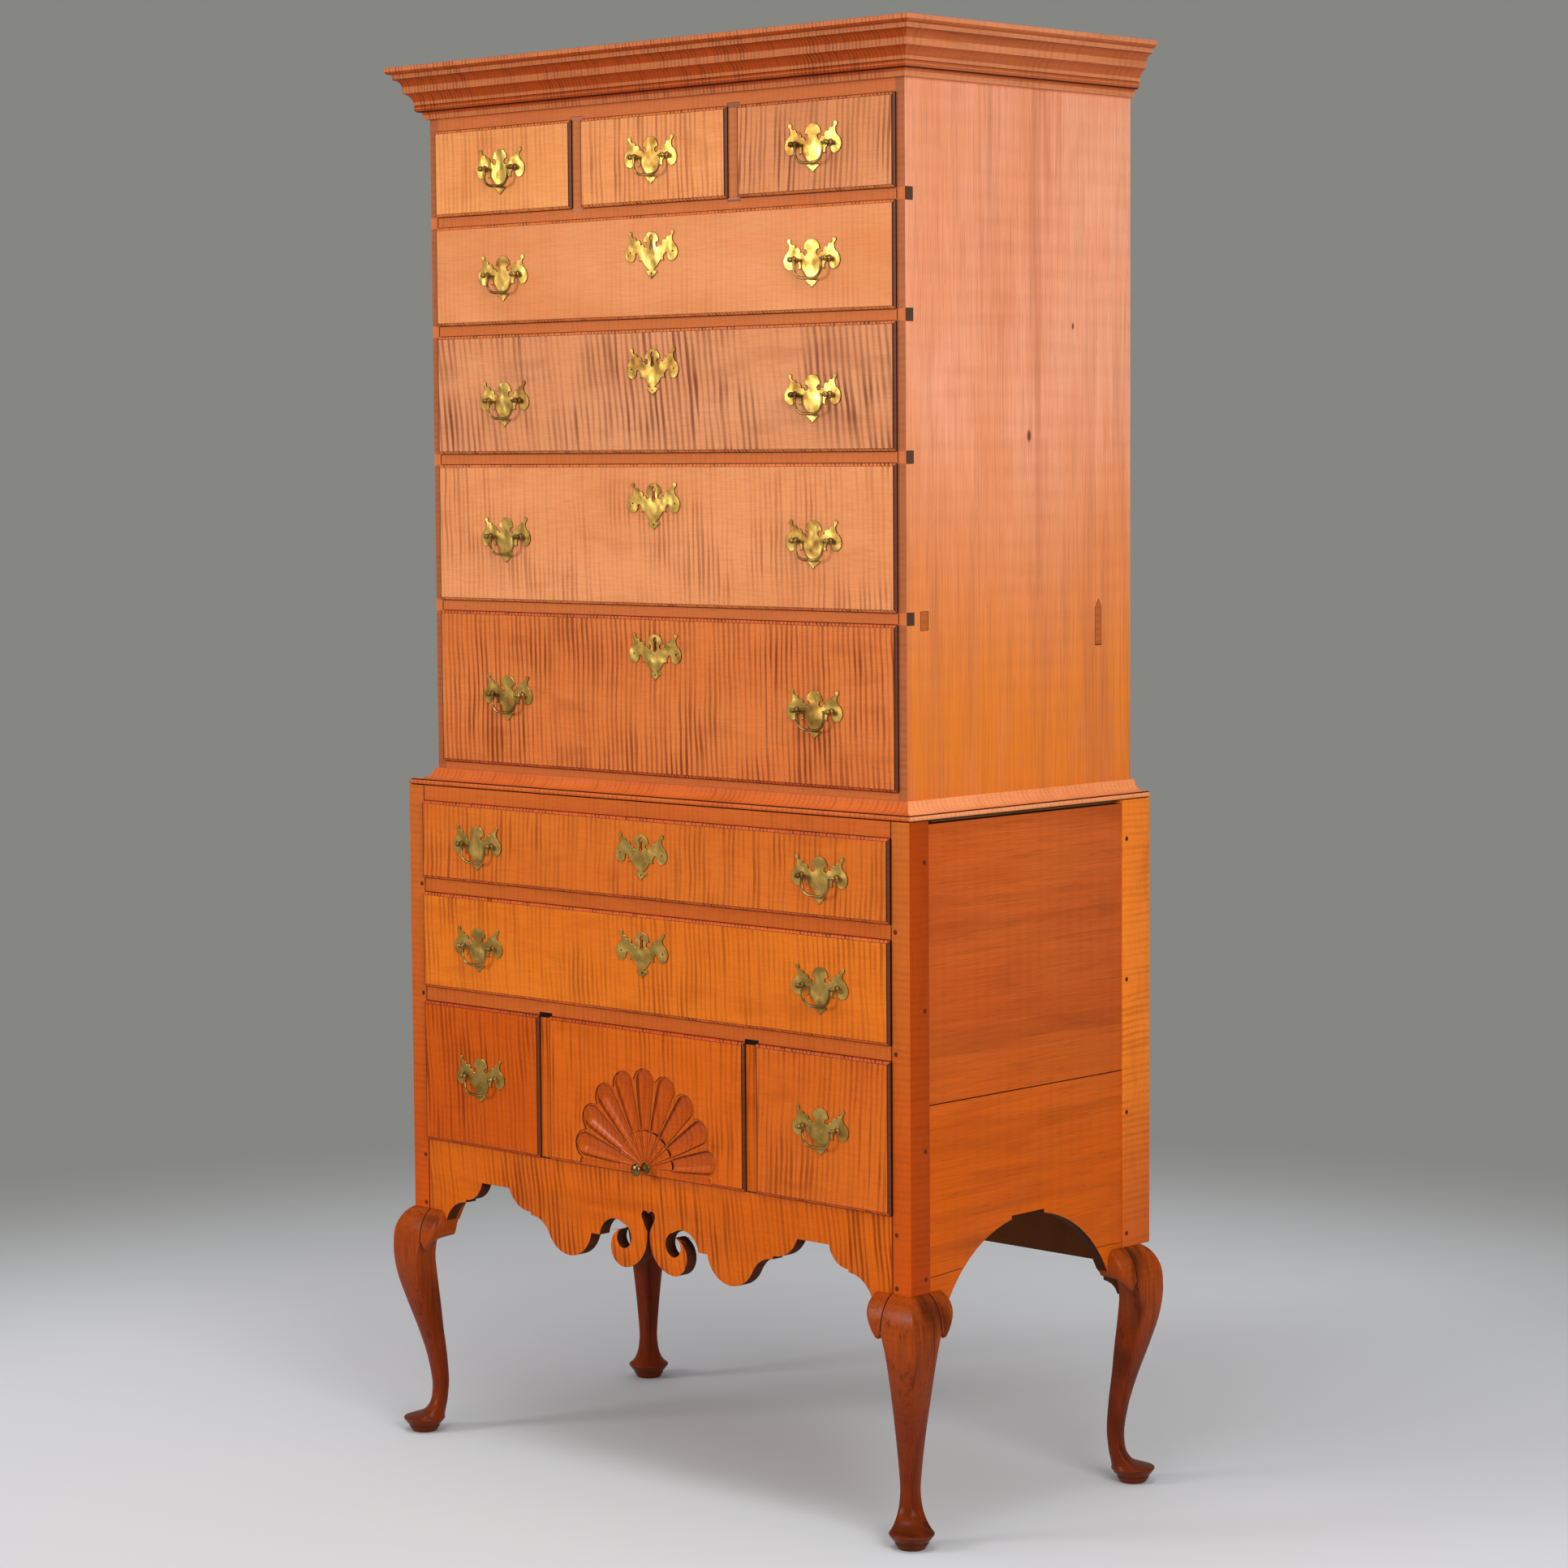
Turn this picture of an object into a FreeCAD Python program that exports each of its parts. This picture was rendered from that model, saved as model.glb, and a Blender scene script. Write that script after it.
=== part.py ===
"""Flat-top Queen Anne highboy in tiger maple: an upper case of drawers that stands in the waist
moulding of a lower case on cabriole legs. Millimetres, +Z up, front towards -Y.

While the pieces are made, X is 0 on the centre line, Y is 0 at the front face of the lower case and
Z is 0 at the floor. export() moves them by middleY, so the origin ends up on the floor at the middle
of the piece's width and depth."""
import FreeCAD
import Part
import math
import os

Vector = FreeCAD.Vector

# Driving dimensions
height = 1830.0            # floor to the top of the cornice
lowerHalf = 448.5          # half the width of the lower case
upperHalf = 420.5          # half the width of the upper case
lowerBack = 460.0          # back of the lower case
upperFront = 28.5          # the upper case stands this far behind the lower one
upperBack = 455.0
kneeTop = 308.7            # where the square posts end and the cabriole legs begin
waist = 880.2              # top of the lower case
waistTop = 902.6           # top of the waist moulding
corniceBottom = 1762.0
corniceReach = 42.5

# Stock
sideStock = 15.0           # side boards of the upper case
postWide = 31.5            # leg posts, across the front
postDeep = 35.0            # leg posts, along the side
backPostExtra = 20.0       # the back posts run on behind their legs
panelStock = 16.0
apronStock = 18.0
railDeep = 60.0
backStock = 12.0
drawerStock = 11.0
bottomStock = 8.0
frontStock = 16.0          # part of a drawer front that goes into its opening
lipProud = 5.5             # part of a drawer front that stands before the case
lipFlat = 2.5              # square edge of the lip, before the thumb moulding
lipRound = 3.0             # how far the thumb moulding runs in from the edge
lipFillet = 0.7            # small step between the thumb moulding and the field
lipOver = 2.0              # how far a lip covers the wood round its opening
slip = 0.4                 # gap between a drawer and what it runs on or shuts against
play = 1.0                 # gap at each side of a drawer

# Heights of the drawer lips, from the lowest up, and the wood that shows between them
upperRows = [201.0, 178.5, 154.5, 128.5, 112.0]
upperRowsFrom = 912.5
upperShow = 14.5
lowerRows = [187.0, 127.0, 103.0]
lowerRowsFrom = 404.0
lowerShow = 19.5
upperPartition = 139.0     # centre of each upright between the small top drawers
upperPartitionStock = 22.0
lowerPartition = 186.0
lowerPartitionStock = 24.0
upperDrawerLong = 400.0
lowerDrawerLong = 425.0

upperInner = upperHalf - sideStock
lowerInner = lowerHalf - postWide
panelOuter = lowerHalf - 1.5
panelInner = panelOuter - panelStock
backPostFront = lowerBack - postDeep - backPostExtra


# Simple solids

def box(x0, x1, y0, y1, z0, z1):
    """A box between two X, two Y and two Z values."""
    return Part.makeBox(x1 - x0, y1 - y0, z1 - z0, Vector(x0, y0, z0))


def pathFace(path, toPoint):
    """A face inside a closed path. Each step is a point (u, v), reached by a line, or a pair
    ((u, v), (u, v)), reached by an arc through the first point to the second."""
    edges = []
    here = path[0]
    for step in list(path[1:]) + [path[0]]:
        arc = isinstance(step[0], tuple)
        target = step[1] if arc else step
        if arc:
            curve = Part.Arc(toPoint(*here), toPoint(*step[0]), toPoint(*target))
            edges.append(curve.toShape())
        elif math.dist(here, target) > 1e-6:
            edges.append(Part.makeLine(toPoint(*here), toPoint(*target)))
        here = target
    return Part.Face(Part.Wire(edges))


def chorded(path, largest=math.radians(30)):
    """The same path with each arc as chords that turn by no more than the largest angle."""
    points = [path[0]]
    for step in path[1:]:
        if not isinstance(step[0], tuple):
            points.append(step)
            continue
        circle = Part.Arc(*(Vector(u, v, 0) for u, v in (points[-1],) + step))
        start, end = circle.FirstParameter, circle.LastParameter
        count = math.ceil((end - start) / largest)
        turned = [circle.value(start + (end - start) * k / count) for k in range(count + 1)]
        if math.dist(points[-1], (turned[0].x, turned[0].y)) > 1e-6:
            turned.reverse()
        points += [(point.x, point.y) for point in turned[1:]]
    return points


def alongX(path, x0, x1):
    """A path in (y, z), drawn out from x0 to x1."""
    return pathFace(path, lambda y, z: Vector(x0, y, z)).extrude(Vector(x1 - x0, 0, 0))


def alongY(path, y0, y1):
    """A path in (x, z), drawn out from y0 to y1."""
    return pathFace(path, lambda x, z: Vector(x, y0, z)).extrude(Vector(0, y1 - y0, 0))


def alongZ(path, z0, z1):
    """A path in (x, y), drawn out from z0 to z1."""
    return pathFace(path, lambda x, y: Vector(x, y, z0)).extrude(Vector(0, 0, z1 - z0))


def mirrored(shape):
    """The same shape on the other side of the centre line."""
    return shape.mirror(Vector(0, 0, 0), Vector(1, 0, 0))


def bothSides(shapes):
    """Right-hand shapes followed by their left-hand twins."""
    return list(shapes) + [mirrored(shape) for shape in shapes]


def skinned(rings):
    """A solid with flat triangular sides over rings of points and a flat cap on each end."""
    faces = [Part.Face(Part.makePolygon(ring + [ring[0]])) for ring in (rings[0], rings[-1])]
    for low, high in zip(rings, rings[1:]):
        for k in range(len(low)):
            after = (k + 1) % len(low)
            for corners in ([low[k], low[after], high[after]], [low[k], high[after], high[k]]):
                faces.append(Part.Face(Part.makePolygon(corners + [corners[0]])))
    return Part.makeSolid(Part.makeShell(faces)).removeSplitter()


def facetedTurning(profile, sides, x, z):
    """A small turning along Y, given as (radius, y) pairs from front to back, with flat sides."""
    turns = [2 * math.pi * (k + 0.5) / sides for k in range(sides)]
    return skinned([[Vector(x + radius * math.cos(turn), y, z + radius * math.sin(turn)) for turn in turns]
                    for radius, y in profile])


def export(name, solids):
    """Write one named sub-part, in its final place."""
    shape = Part.makeCompound(solids) if len(solids) > 1 else solids[0]
    shape = shape.copy()
    shape.translate(Vector(0, -middleY, 0))
    shape.exportStep("parts/" + name + ".step")


# Rows of drawers

def rowLimits(start, rows, show):
    """The lip heights of each row, from the lowest row up."""
    limits = []
    low = start
    for tall in rows:
        limits.append((low, low + tall))
        low += tall + show
    return limits


upperLips = rowLimits(upperRowsFrom, upperRows, upperShow)
lowerLips = rowLimits(lowerRowsFrom, lowerRows, lowerShow)


def railSpans(lips):
    """Bottom and top of each rail that lies between two rows."""
    return [(low[1] - lipOver, high[0] + lipOver) for low, high in zip(lips, lips[1:])]


upperRails = railSpans(upperLips)
lowerRails = railSpans(lowerLips)
topRailLow = upperLips[-1][1] - lipOver
bottomRailTop = upperLips[0][0] + lipOver
lowerTopRailLow = lowerLips[-1][1] - lipOver
apronTop = lowerLips[0][0] + lipOver

# Upper case

dovetailDeep = 14.0
dovetailNeck = 12.0
dovetailEnd = 16.0
rabbet = 8.0
topStock = 16.0
caseTop = height - 8.0
topBoardLow = caseTop - topStock
housing = 6.5              # how far an upright is let into the rails above and below it


def railTail(low, high):
    """The dovetail on the right end of an upper rail, which shows on the outside of the case."""
    middle = (low + high) / 2
    neck = dovetailNeck / 2
    end = dovetailEnd / 2
    outline = [(upperInner, middle - neck), (upperHalf, middle - end),
               (upperHalf, middle + end), (upperInner, middle + neck)]
    return alongY(outline, upperFront, upperFront + dovetailDeep)


def upperUprights():
    """The two uprights between the small top drawers, housed in the rails."""
    low = upperRails[-1][1] - housing
    high = topRailLow + housing
    half = upperPartitionStock / 2
    upright = box(upperPartition - half, upperPartition + half,
                  upperFront, upperFront + railDeep, low, high)
    return bothSides([upright])


def upperRailSolids():
    """Top rail, four dividers and bottom rail, with the housings for the uprights cut out."""
    back = upperFront + railDeep
    solids = [box(-upperInner, upperInner, upperFront, upperFront + 20, waist, bottomRailTop)]
    for low, high in upperRails:
        rail = box(-upperInner, upperInner, upperFront, back, low, high)
        solids.append(rail.multiFuse(bothSides([railTail(low, high)])).removeSplitter())
    solids.append(box(-upperInner, upperInner, upperFront, back, topRailLow, topRailLow + 18)
                  .fuse(box(-upperInner, upperInner, upperFront, upperFront + 18,
                            topRailLow, topBoardLow)).removeSplitter())
    uprights = Part.makeCompound(upperUprights())
    solids[-1] = solids[-1].cut(uprights)
    solids[-2] = solids[-2].cut(uprights)
    return solids


def upperSides():
    """Two side boards with sockets for the rail dovetails and a rabbet for the back."""
    board = box(upperInner, upperHalf, upperFront, upperBack, waist, caseTop)
    tails = [railTail(low, high) for low, high in upperRails]
    backRabbet = box(upperInner, upperInner + rabbet, upperBack - backStock, upperBack,
                     waist, topBoardLow)
    return bothSides([board.cut(Part.makeCompound(tails + [backRabbet]))])


def upperBackBoards():
    """Four wide boards across the back, one above another."""
    count = 4
    tall = (topBoardLow - waist) / count
    solids = []
    for index in range(count):
        low = waist + index * tall
        solids.append(box(-upperInner - rabbet, upperInner + rabbet,
                          upperBack - backStock, upperBack, low, low + tall - 1))
    return solids


def upperTop():
    return [box(-upperInner, upperInner, upperFront, upperBack, topBoardLow, caseTop)]


def upperBottom():
    """The bottom board, level with the bottom rail, on which the lowest drawer slides."""
    return [box(-upperInner, upperInner, upperFront + 20, upperBack - backStock,
                bottomRailTop - 16, bottomRailTop)]


# Mouldings

def mitredFrame(profile, frontY, backY, sideX):
    """Front and two side lengths of a moulding round a case, mitred at the front corners.
    The profile is a path in (reach, z), where reach is measured out from the case."""
    far = 60.0
    section = chorded(profile)
    front = alongX([(frontY - reach, z) for reach, z in section], -sideX - far, sideX + far)
    side = alongY([(sideX + reach, z) for reach, z in section], frontY - far, backY)
    corner = [(0, frontY), (sideX, frontY), (sideX + far, frontY - far), (0, frontY - far)]
    frontHalf = front.common(alongZ(corner, 0, height + 1))
    wedge = [(sideX, frontY), (sideX + far, frontY - far), (sideX + far, backY), (sideX, backY)]
    sideLength = side.common(alongZ(wedge, 0, height + 1))
    return [frontHalf.fuse(mirrored(frontHalf)).removeSplitter()] + bothSides([sideLength])


def cornice():
    """Fillet, ovolo, fillet, cove, fillet, cove and bead, from the top down."""
    top = height
    low = corniceBottom
    profile = [
        (0.0, low), (0.0, top), (corniceReach, top), (corniceReach, top - 6.0),
        ((40.5, top - 8.6), (35.5, top - 9.0)), (35.5, top - 15.5),
        ((28.6, top - 19.0), (25.5, top - 27.0)), (25.5, top - 34.0),
        ((18.3, top - 39.0), (15.5, top - 49.5)), (13.5, top - 49.5),
        ((14.6, top - 54.5), (10.5, top - 58.5)), (7.0, top - 59.5), (6.0, low)]
    return mitredFrame(profile, upperFront, upperBack, upperHalf)


def waistMoulding():
    """A small flat, a cove and a bead, from the upper case out to the lower one."""
    reach = upperFront
    profile = [
        (0.0, waist), (0.0, waistTop), (3.5, waistTop), (4.0, waistTop - 2.5),
        ((9.6, waist + 10.8), (reach - 7.0, waist + 8.2)), (reach - 4.0, waist + 8.0),
        ((reach, waist + 4.0), (reach - 4.0, waist))]
    return mitredFrame(profile, upperFront, lowerBack, upperHalf)


# Legs. A leg is drawn along its diagonal: r runs outwards from the corner of its post, s across.
# Each station is a height, the outer arris, the inner edge, half the width across the diagonal,
# half the flat left on each arris, and where along the diagonal the leg is widest.

legStations = [
    (308.7, 0.0, -44.0, 22.1, 0.3, -22.1),
    (303.0, 10.5, -43.0, 26.5, 1.0, -16.0),
    (293.0, 20.5, -40.0, 31.5, 1.2, -11.0),
    (279.0, 28.0, -34.0, 35.6, 1.3, -7.6),
    (262.0, 30.8, -29.0, 36.9, 1.4, -6.1),
    (240.0, 30.0, -26.4, 32.0, 1.6, -2.0),
    (208.0, 23.0, -28.9, 26.8, 2.2, -3.8),
    (164.0, 7.4, -33.6, 21.4, 2.8, -14.4),
    (112.0, -10.8, -39.2, 15.8, 3.2, -26.6),
    (64.0, -19.6, -42.3, 12.6, 3.6, -31.4),
    (40.0, -17.2, -40.4, 16.6, 5.4, -28.0),
    (27.0, -1.0, -36.0, 20.5, 8.0, -18.0),
    (22.0, 4.0, -31.0, 17.0, 7.0, -12.0)]
footCentre = -8.6          # along the diagonal
padSides = 12
padProfile = [(17.5, 0.0), (17.5, 7.0), (27.0, 17.0), (17.0, 25.0)]   # radius, height


def legSection(station):
    """An eight-sided section: four flat sides and four softened arrises."""
    z, outer, inner, half, soft, widest = station
    front = max(soft, half - (outer - widest - soft))
    back = max(soft, half - (widest - soft - inner))
    points = [(outer, front), (widest + soft, half), (widest - soft, half), (inner, back),
              (inner, -back), (widest - soft, -half), (widest + soft, -half), (outer, -front)]
    return [Vector(r, s, z) for r, s in points]


def kneeFace(station):
    """How far the flat of the knee stands out from the face of the post."""
    return (station[1] + station[4]) / math.sqrt(2)


def legBelow():
    """Knee, shank and pad foot, with r along X and s along Y."""
    shank = skinned([legSection(station) for station in legStations])
    rings = [[Vector(footCentre + radius * math.cos(2 * math.pi * k / padSides),
                     radius * math.sin(2 * math.pi * k / padSides), z) for k in range(padSides)]
             for radius, z in padProfile]
    foot = skinned(rings)
    return shank.fuse(foot).removeSplitter()


def turnedLeg(below, cornerY, turn):
    """The leg below the post, set under the right-hand corner of the case."""
    leg = below.copy()
    leg.rotate(Vector(0, 0, 0), Vector(0, 0, 1), turn)
    leg.translate(Vector(lowerHalf, cornerY, 0))
    return leg


# Lower case joints

tenonLong = 20.0
tenonInset = 6.0
tenonStock = 10.0
tongueDeep = 14.0
tongueStock = 8.0
pegWide = 5.6
pegProud = 0.5
frontPegX = lowerInner + 8.5
frontPegHeights = [748.0, 600.5, 381.0, 316.0]
sidePegHeights = [831.0, 652.0, 482.0, 326.0]
frontPostPegY = 27.0
backPostPegY = backPostFront + 8.0


def railTenons(low, high):
    """Tenon on the right end of a lower rail or the apron."""
    return box(lowerInner, lowerInner + tenonLong, tenonInset, tenonInset + tenonStock,
               low + 3, high - 3)


def frontPegs():
    """Right-hand pegs through the front of the post and the tenons in it."""
    half = pegWide / 2
    end = tenonInset + tenonStock
    return [box(frontPegX - half, frontPegX + half, -pegProud, end, z - half, z + half)
            for z in frontPegHeights]


def sidePegs():
    """Right-hand pegs through the side of both posts and the tongues of the side board."""
    half = pegWide / 2
    end = (panelInner + panelOuter - tongueStock) / 2
    return [box(end, lowerHalf + pegProud, y - half, y + half, z - half, z + half)
            for y in (frontPostPegY, backPostPegY) for z in sidePegHeights]


def pegs():
    return bothSides(frontPegs() + sidePegs())


def tongues(low, high):
    """Tongues on the front and back ends of the right side board."""
    middle = (panelInner + panelOuter) / 2
    x0 = middle - tongueStock / 2
    x1 = middle + tongueStock / 2
    return [box(x0, x1, postDeep - tongueDeep, postDeep, low, high),
            box(x0, x1, backPostFront, backPostFront + tongueDeep, low, high)]


archY = (postDeep + backPostFront) / 2
archZ = 204.0
archRadius = 174.5
archFlat = 31.0
archCrown = 380.5
panelTop = waist - 4.0
boardFoot = kneeTop - 26.0
boardJoint = 536.5


def sideBoards():
    """Right side of the lower case: two boards, one above another, arched below."""
    body = box(panelInner, panelOuter, postDeep, backPostFront, boardFoot, panelTop)
    body = body.multiFuse(tongues(kneeTop + 4, panelTop - 4)).removeSplitter()
    drop = math.sqrt(archRadius ** 2 - archFlat ** 2)
    wide = math.sqrt(archRadius ** 2 - (boardFoot - archZ) ** 2)
    arch = [(archY - wide, boardFoot), (archY - wide, boardFoot - 14),
            (archY + wide, boardFoot - 14), (archY + wide, boardFoot),
            ((archY + archRadius * math.cos(math.radians(53)),
              archZ + archRadius * math.sin(math.radians(53))), (archY + archFlat, archZ + drop)),
            (archY + archFlat, archCrown), (archY - archFlat, archCrown),
            (archY - archFlat, archZ + drop),
            ((archY - archRadius * math.cos(math.radians(53)),
              archZ + archRadius * math.sin(math.radians(53))), (archY - wide, boardFoot))]
    body = body.cut(alongX(chorded(arch), panelInner - 1, panelOuter + 1))
    body = body.cut(Part.makeCompound(sidePegs()))
    above = body.common(box(panelInner, panelOuter, 0, lowerBack, boardJoint, height))
    below = body.common(box(panelInner, panelOuter, 0, lowerBack, 0, boardJoint))
    return bothSides([above, below])


def apron():
    """Front board below the drawers, with a pair of scrolls and a heart between them."""
    top = apronTop
    half = [
        (0, top), (lowerInner, top), (lowerInner, boardFoot), (387.5, boardFoot),
        ((375, 313), (346, 325)), (346, 328.5), ((323, 338), (314, 355)),
        (261, 355), ((249, 338), (220, 328.3)), (219, 324),
        ((198.1, 318.4), (184.1, 303.2)), ((147, 280.4), (105, 315)), (89.4, 315),
        ((67, 339), (44.5, 334.5)), ((31, 318.5), (45, 303)), ((57.5, 316), (46.5, 328.5)),
        ((69, 304), (43.5, 278.6)), (38, 279.4), ((10, 298), (2.2, 325)), (2.2, 330),
        (11.4, 347.5), ((9.5, 355.8), (0, 353))]
    board = alongY(chorded(half), 0, apronStock)
    board = board.fuse(railTenons(300, top))
    whole = board.fuse(mirrored(board)).removeSplitter()
    return [whole.cut(Part.makeCompound(bothSides(frontPegs())))]


def lowerRailSolids():
    """Top rail and the two rails between the rows of drawers, tenoned into the posts."""
    solids = []
    for low, high in lowerRails + [(lowerTopRailLow, waist)]:
        rail = box(-lowerInner, lowerInner, 0, railDeep, low, high)
        rail = rail.cut(Part.makeCompound(bothSides(
            [box(lowerInner - 1, lowerInner, postDeep, railDeep, low, high)])))
        solids.append(rail.multiFuse(bothSides([railTenons(low, high)])).removeSplitter())
    cutters = Part.makeCompound(bothSides(frontPegs()) + lowerUprights())
    return [solid.cut(cutters) for solid in solids]


def lowerUprights():
    """The two uprights beside the shell drawer."""
    half = lowerPartitionStock / 2
    low = apronTop
    high = lowerRails[0][0] + housing
    upright = box(lowerPartition - half, lowerPartition + half, 0, railDeep, low, high)
    return bothSides([upright])


def lowerBackBoard():
    """Back board of the lower case, bracketed down to the back legs."""
    low = 277.0
    half = [(0, waist), (lowerInner, waist), (lowerInner, 237), (408, 237),
            ((401, 247), (392, 251)), (385.5, 252), (384, 259.6),
            ((377, 262), (373, 266)), (367, low), (0, low)]
    y0 = lowerBack - 15
    board = alongY(chorded(half), y0, y0 + backStock)
    tongue = box(lowerInner, lowerInner + 10, y0 + 2, y0 + 10, kneeTop + 4, waist)
    board = board.fuse(tongue)
    return [board.fuse(mirrored(board)).removeSplitter()]


def legSolids():
    """The four legs, each one piece from the foot to the top of the lower case."""
    below = legBelow()
    cutters = (frontPegs() + sidePegs() + tongues(kneeTop + 4, panelTop - 4) + [railTenons(300, apronTop)]
               + [railTenons(low, high) for low, high in lowerRails + [(lowerTopRailLow, waist)]]
               + lowerBackBoard())
    cutters = Part.makeCompound(cutters)
    frontPost = box(lowerInner, lowerHalf, 0, postDeep, kneeTop, waist)
    backPost = box(lowerInner, lowerHalf, backPostFront, lowerBack, kneeTop, waist)
    front = frontPost.fuse(turnedLeg(below, 0, -45)).removeSplitter().cut(cutters)
    back = backPost.fuse(turnedLeg(below, lowerBack - backPostExtra, 45)).removeSplitter().cut(cutters)
    return front, back


blockWide = 32.0
blockPoint = 243.0


def kneeBlock(behind, underDeep):
    """Block beside the front right knee: the face of the knee carried on along the case, cut to
    a curve that ends in a point near the leg. It reaches back to the board behind it, and below
    the board for the board's thickness."""
    faces = [(-kneeFace(station), station[0]) for station in legStations if station[0] > blockPoint]
    run = ([(behind, kneeTop), (-0.5, kneeTop)] + faces[1:] + [(-kneeFace(legStations[5]), blockPoint),
           (underDeep, blockPoint), (underDeep, boardFoot), (behind, boardFoot)])
    inner = lowerInner - blockWide
    outline = [(lowerInner + 20, kneeTop), (inner + 10, kneeTop),
               ((inner + 2, 300), (inner, 286)), ((inner + 6, 264), (lowerInner - 12, blockPoint)),
               (lowerInner, blockPoint + 12), (lowerInner + 20, blockPoint + 12)]
    face = alongY(chorded(outline, math.radians(45)), -40, 40)
    return alongX(run, inner - 5, lowerInner + 20).common(face)


def kneeBlocks(frontLeg, backLeg):
    """Two blocks at each front leg and one at each back leg, below the side boards."""
    front = kneeBlock(0, apronStock).cut(frontLeg)
    side = kneeBlock(lowerHalf - panelOuter, lowerHalf - panelInner)
    side = side.mirror(Vector(lowerHalf, 0, 0), Vector(1, 1, 0))
    back = side.mirror(Vector(0, (lowerBack - backPostExtra) / 2, 0), Vector(0, 1, 0))
    return bothSides([front, side.cut(frontLeg), back.cut(backLeg)])


# Drawers

lipSteps = 2               # flats that make up the thumb moulding


def lippedPlate(x0, x1, low, high):
    """The lipped face of a drawer front: square edges, a thumb moulding and a fillet up to the
    field."""
    rise = lipProud - lipFlat - lipFillet
    levels = [(0, -slip)]
    for step in range(lipSteps + 1):
        angle = 0.5 * math.pi * step / lipSteps
        levels.append((lipRound * (1 - math.cos(angle)), -lipFlat - rise * math.sin(angle)))
    levels.append((lipRound, -lipProud))
    return skinned([[Vector(x0 + inset, y, low + inset), Vector(x1 - inset, y, low + inset),
                     Vector(x1 - inset, y, high - inset), Vector(x0 + inset, y, high - inset)]
                    for inset, y in levels])


def tailPieces(x, sign, y0, y1, low, high, count):
    """Half-blind dovetails along one front corner, above the groove for the bottom: they widen
    towards the front."""
    pitch = (high - low) / count
    pieces = []
    for index in range(count):
        middle = low + pitch * (index + 0.5)
        root = pitch * 0.26
        end = pitch * 0.36
        outline = [(y1, middle - root), (y0, middle - end), (y0, middle + end), (y1, middle + root)]
        inner = x - sign * drawerStock
        pieces.append(alongX(outline, min(x, inner), max(x, inner)))
    return pieces


def drawer(x0, x1, low, high, caseY, longBy, tails):
    """One drawer, from its lips: front, two sides, back and bottom."""
    plate = lippedPlate(x0, x1, low, high)
    bodyX0 = x0 + lipOver + play
    bodyX1 = x1 - lipOver - play
    bodyLow = low + lipOver + slip
    bodyHigh = high - lipOver - play
    sideHigh = bodyHigh - 4
    backY = longBy
    tailY = frontStock - 10
    front = plate.fuse(box(bodyX0, bodyX1, -slip, frontStock, bodyLow, bodyHigh)).removeSplitter()
    grooveLow = bodyLow + 6
    grooveHigh = grooveLow + bottomStock
    groove = 5.0
    leftTails = tailPieces(bodyX0, -1, tailY, frontStock, grooveHigh, sideHigh, tails)
    rightTails = tailPieces(bodyX1, 1, tailY, frontStock, grooveHigh, sideHigh, tails)
    left = box(bodyX0, bodyX0 + drawerStock, frontStock, backY, bodyLow, sideHigh)
    right = box(bodyX1 - drawerStock, bodyX1, frontStock, backY, bodyLow, sideHigh)
    bottom = box(bodyX0 + drawerStock - groove, bodyX1 - drawerStock + groove,
                 frontStock - groove, backY, grooveLow, grooveHigh)
    back = box(bodyX0 + drawerStock, bodyX1 - drawerStock, backY - drawerStock, backY,
               grooveHigh, sideHigh - 4)
    front = front.cut(Part.makeCompound(leftTails + rightTails + [bottom]))
    left = left.multiFuse(leftTails).removeSplitter().cut(bottom)
    right = right.multiFuse(rightTails).removeSplitter().cut(bottom)
    solids = [front, left, right, back, bottom]
    for solid in solids:
        solid.translate(Vector(0, caseY, 0))
    return solids


# The shell carved on the middle drawer: spoon-ended flutes that fan out from a point on its
# bottom edge, over a shallow lobed ground

shellCentre = 413.0
shellFlutes = 9
shellTip = 128.0           # centre to the end of each lobe
shellValley = 114.0        # centre to the notch between two lobes
shellFoot = 118.0          # half the width of the ground at the bottom edge
shellGround = 1.4
fluteStations = [          # radius, half the width, depth below the ground
    (47.0, 5.2, 2.2), (95.0, 12.4, 4.8), (119.0, 13.0, 4.2), (127.5, 4.5, 0.8)]


def shellPoint(radius, angle, aside=0.0):
    """A point (x, z) on a line that leaves the shell's centre at an angle, or aside from it."""
    return (radius * math.cos(angle) - aside * math.sin(angle),
            shellCentre + radius * math.sin(angle) + aside * math.cos(angle))


def shellGroundCutter(low):
    """The shallow lobed ground, open at the bottom edge of the drawer."""
    fan = math.pi / shellFlutes
    outline = [(shellFoot, low - 1), (shellFoot, shellCentre)]
    for lobe in range(shellFlutes - 1):
        outline.append((shellPoint(shellTip, (lobe + 0.5) * fan), shellPoint(shellValley, (lobe + 1) * fan)))
    outline.append((shellPoint(shellTip, (shellFlutes - 0.5) * fan), (-shellFoot, shellCentre)))
    outline.append((-shellFoot, low - 1))
    return alongY(chorded(outline, math.radians(50)), -lipProud - 1, shellGround - lipProud)


def fluteCutter(angle):
    """One flute: a scoop that widens and deepens outwards and closes in a rounded end."""
    rings = []
    for radius, half, deep in fluteStations:
        section = [(-half, -2), (-half, 0), (-half / 2, deep), (half / 2, deep), (half, 0), (half, -2)]
        ring = []
        for aside, below in section:
            x, z = shellPoint(radius, angle, aside)
            ring.append(Vector(x, shellGround - lipProud + below, z))
        rings.append(ring)
    return skinned(rings)


def carved(front, low):
    """A drawer front with the shell cut into it."""
    fan = math.pi / shellFlutes
    flutes = [fluteCutter((flute + 0.5) * fan) for flute in range(shellFlutes)]
    return front.cut(shellGroundCutter(low)).cut(Part.makeCompound(flutes))


# Brasses

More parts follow.
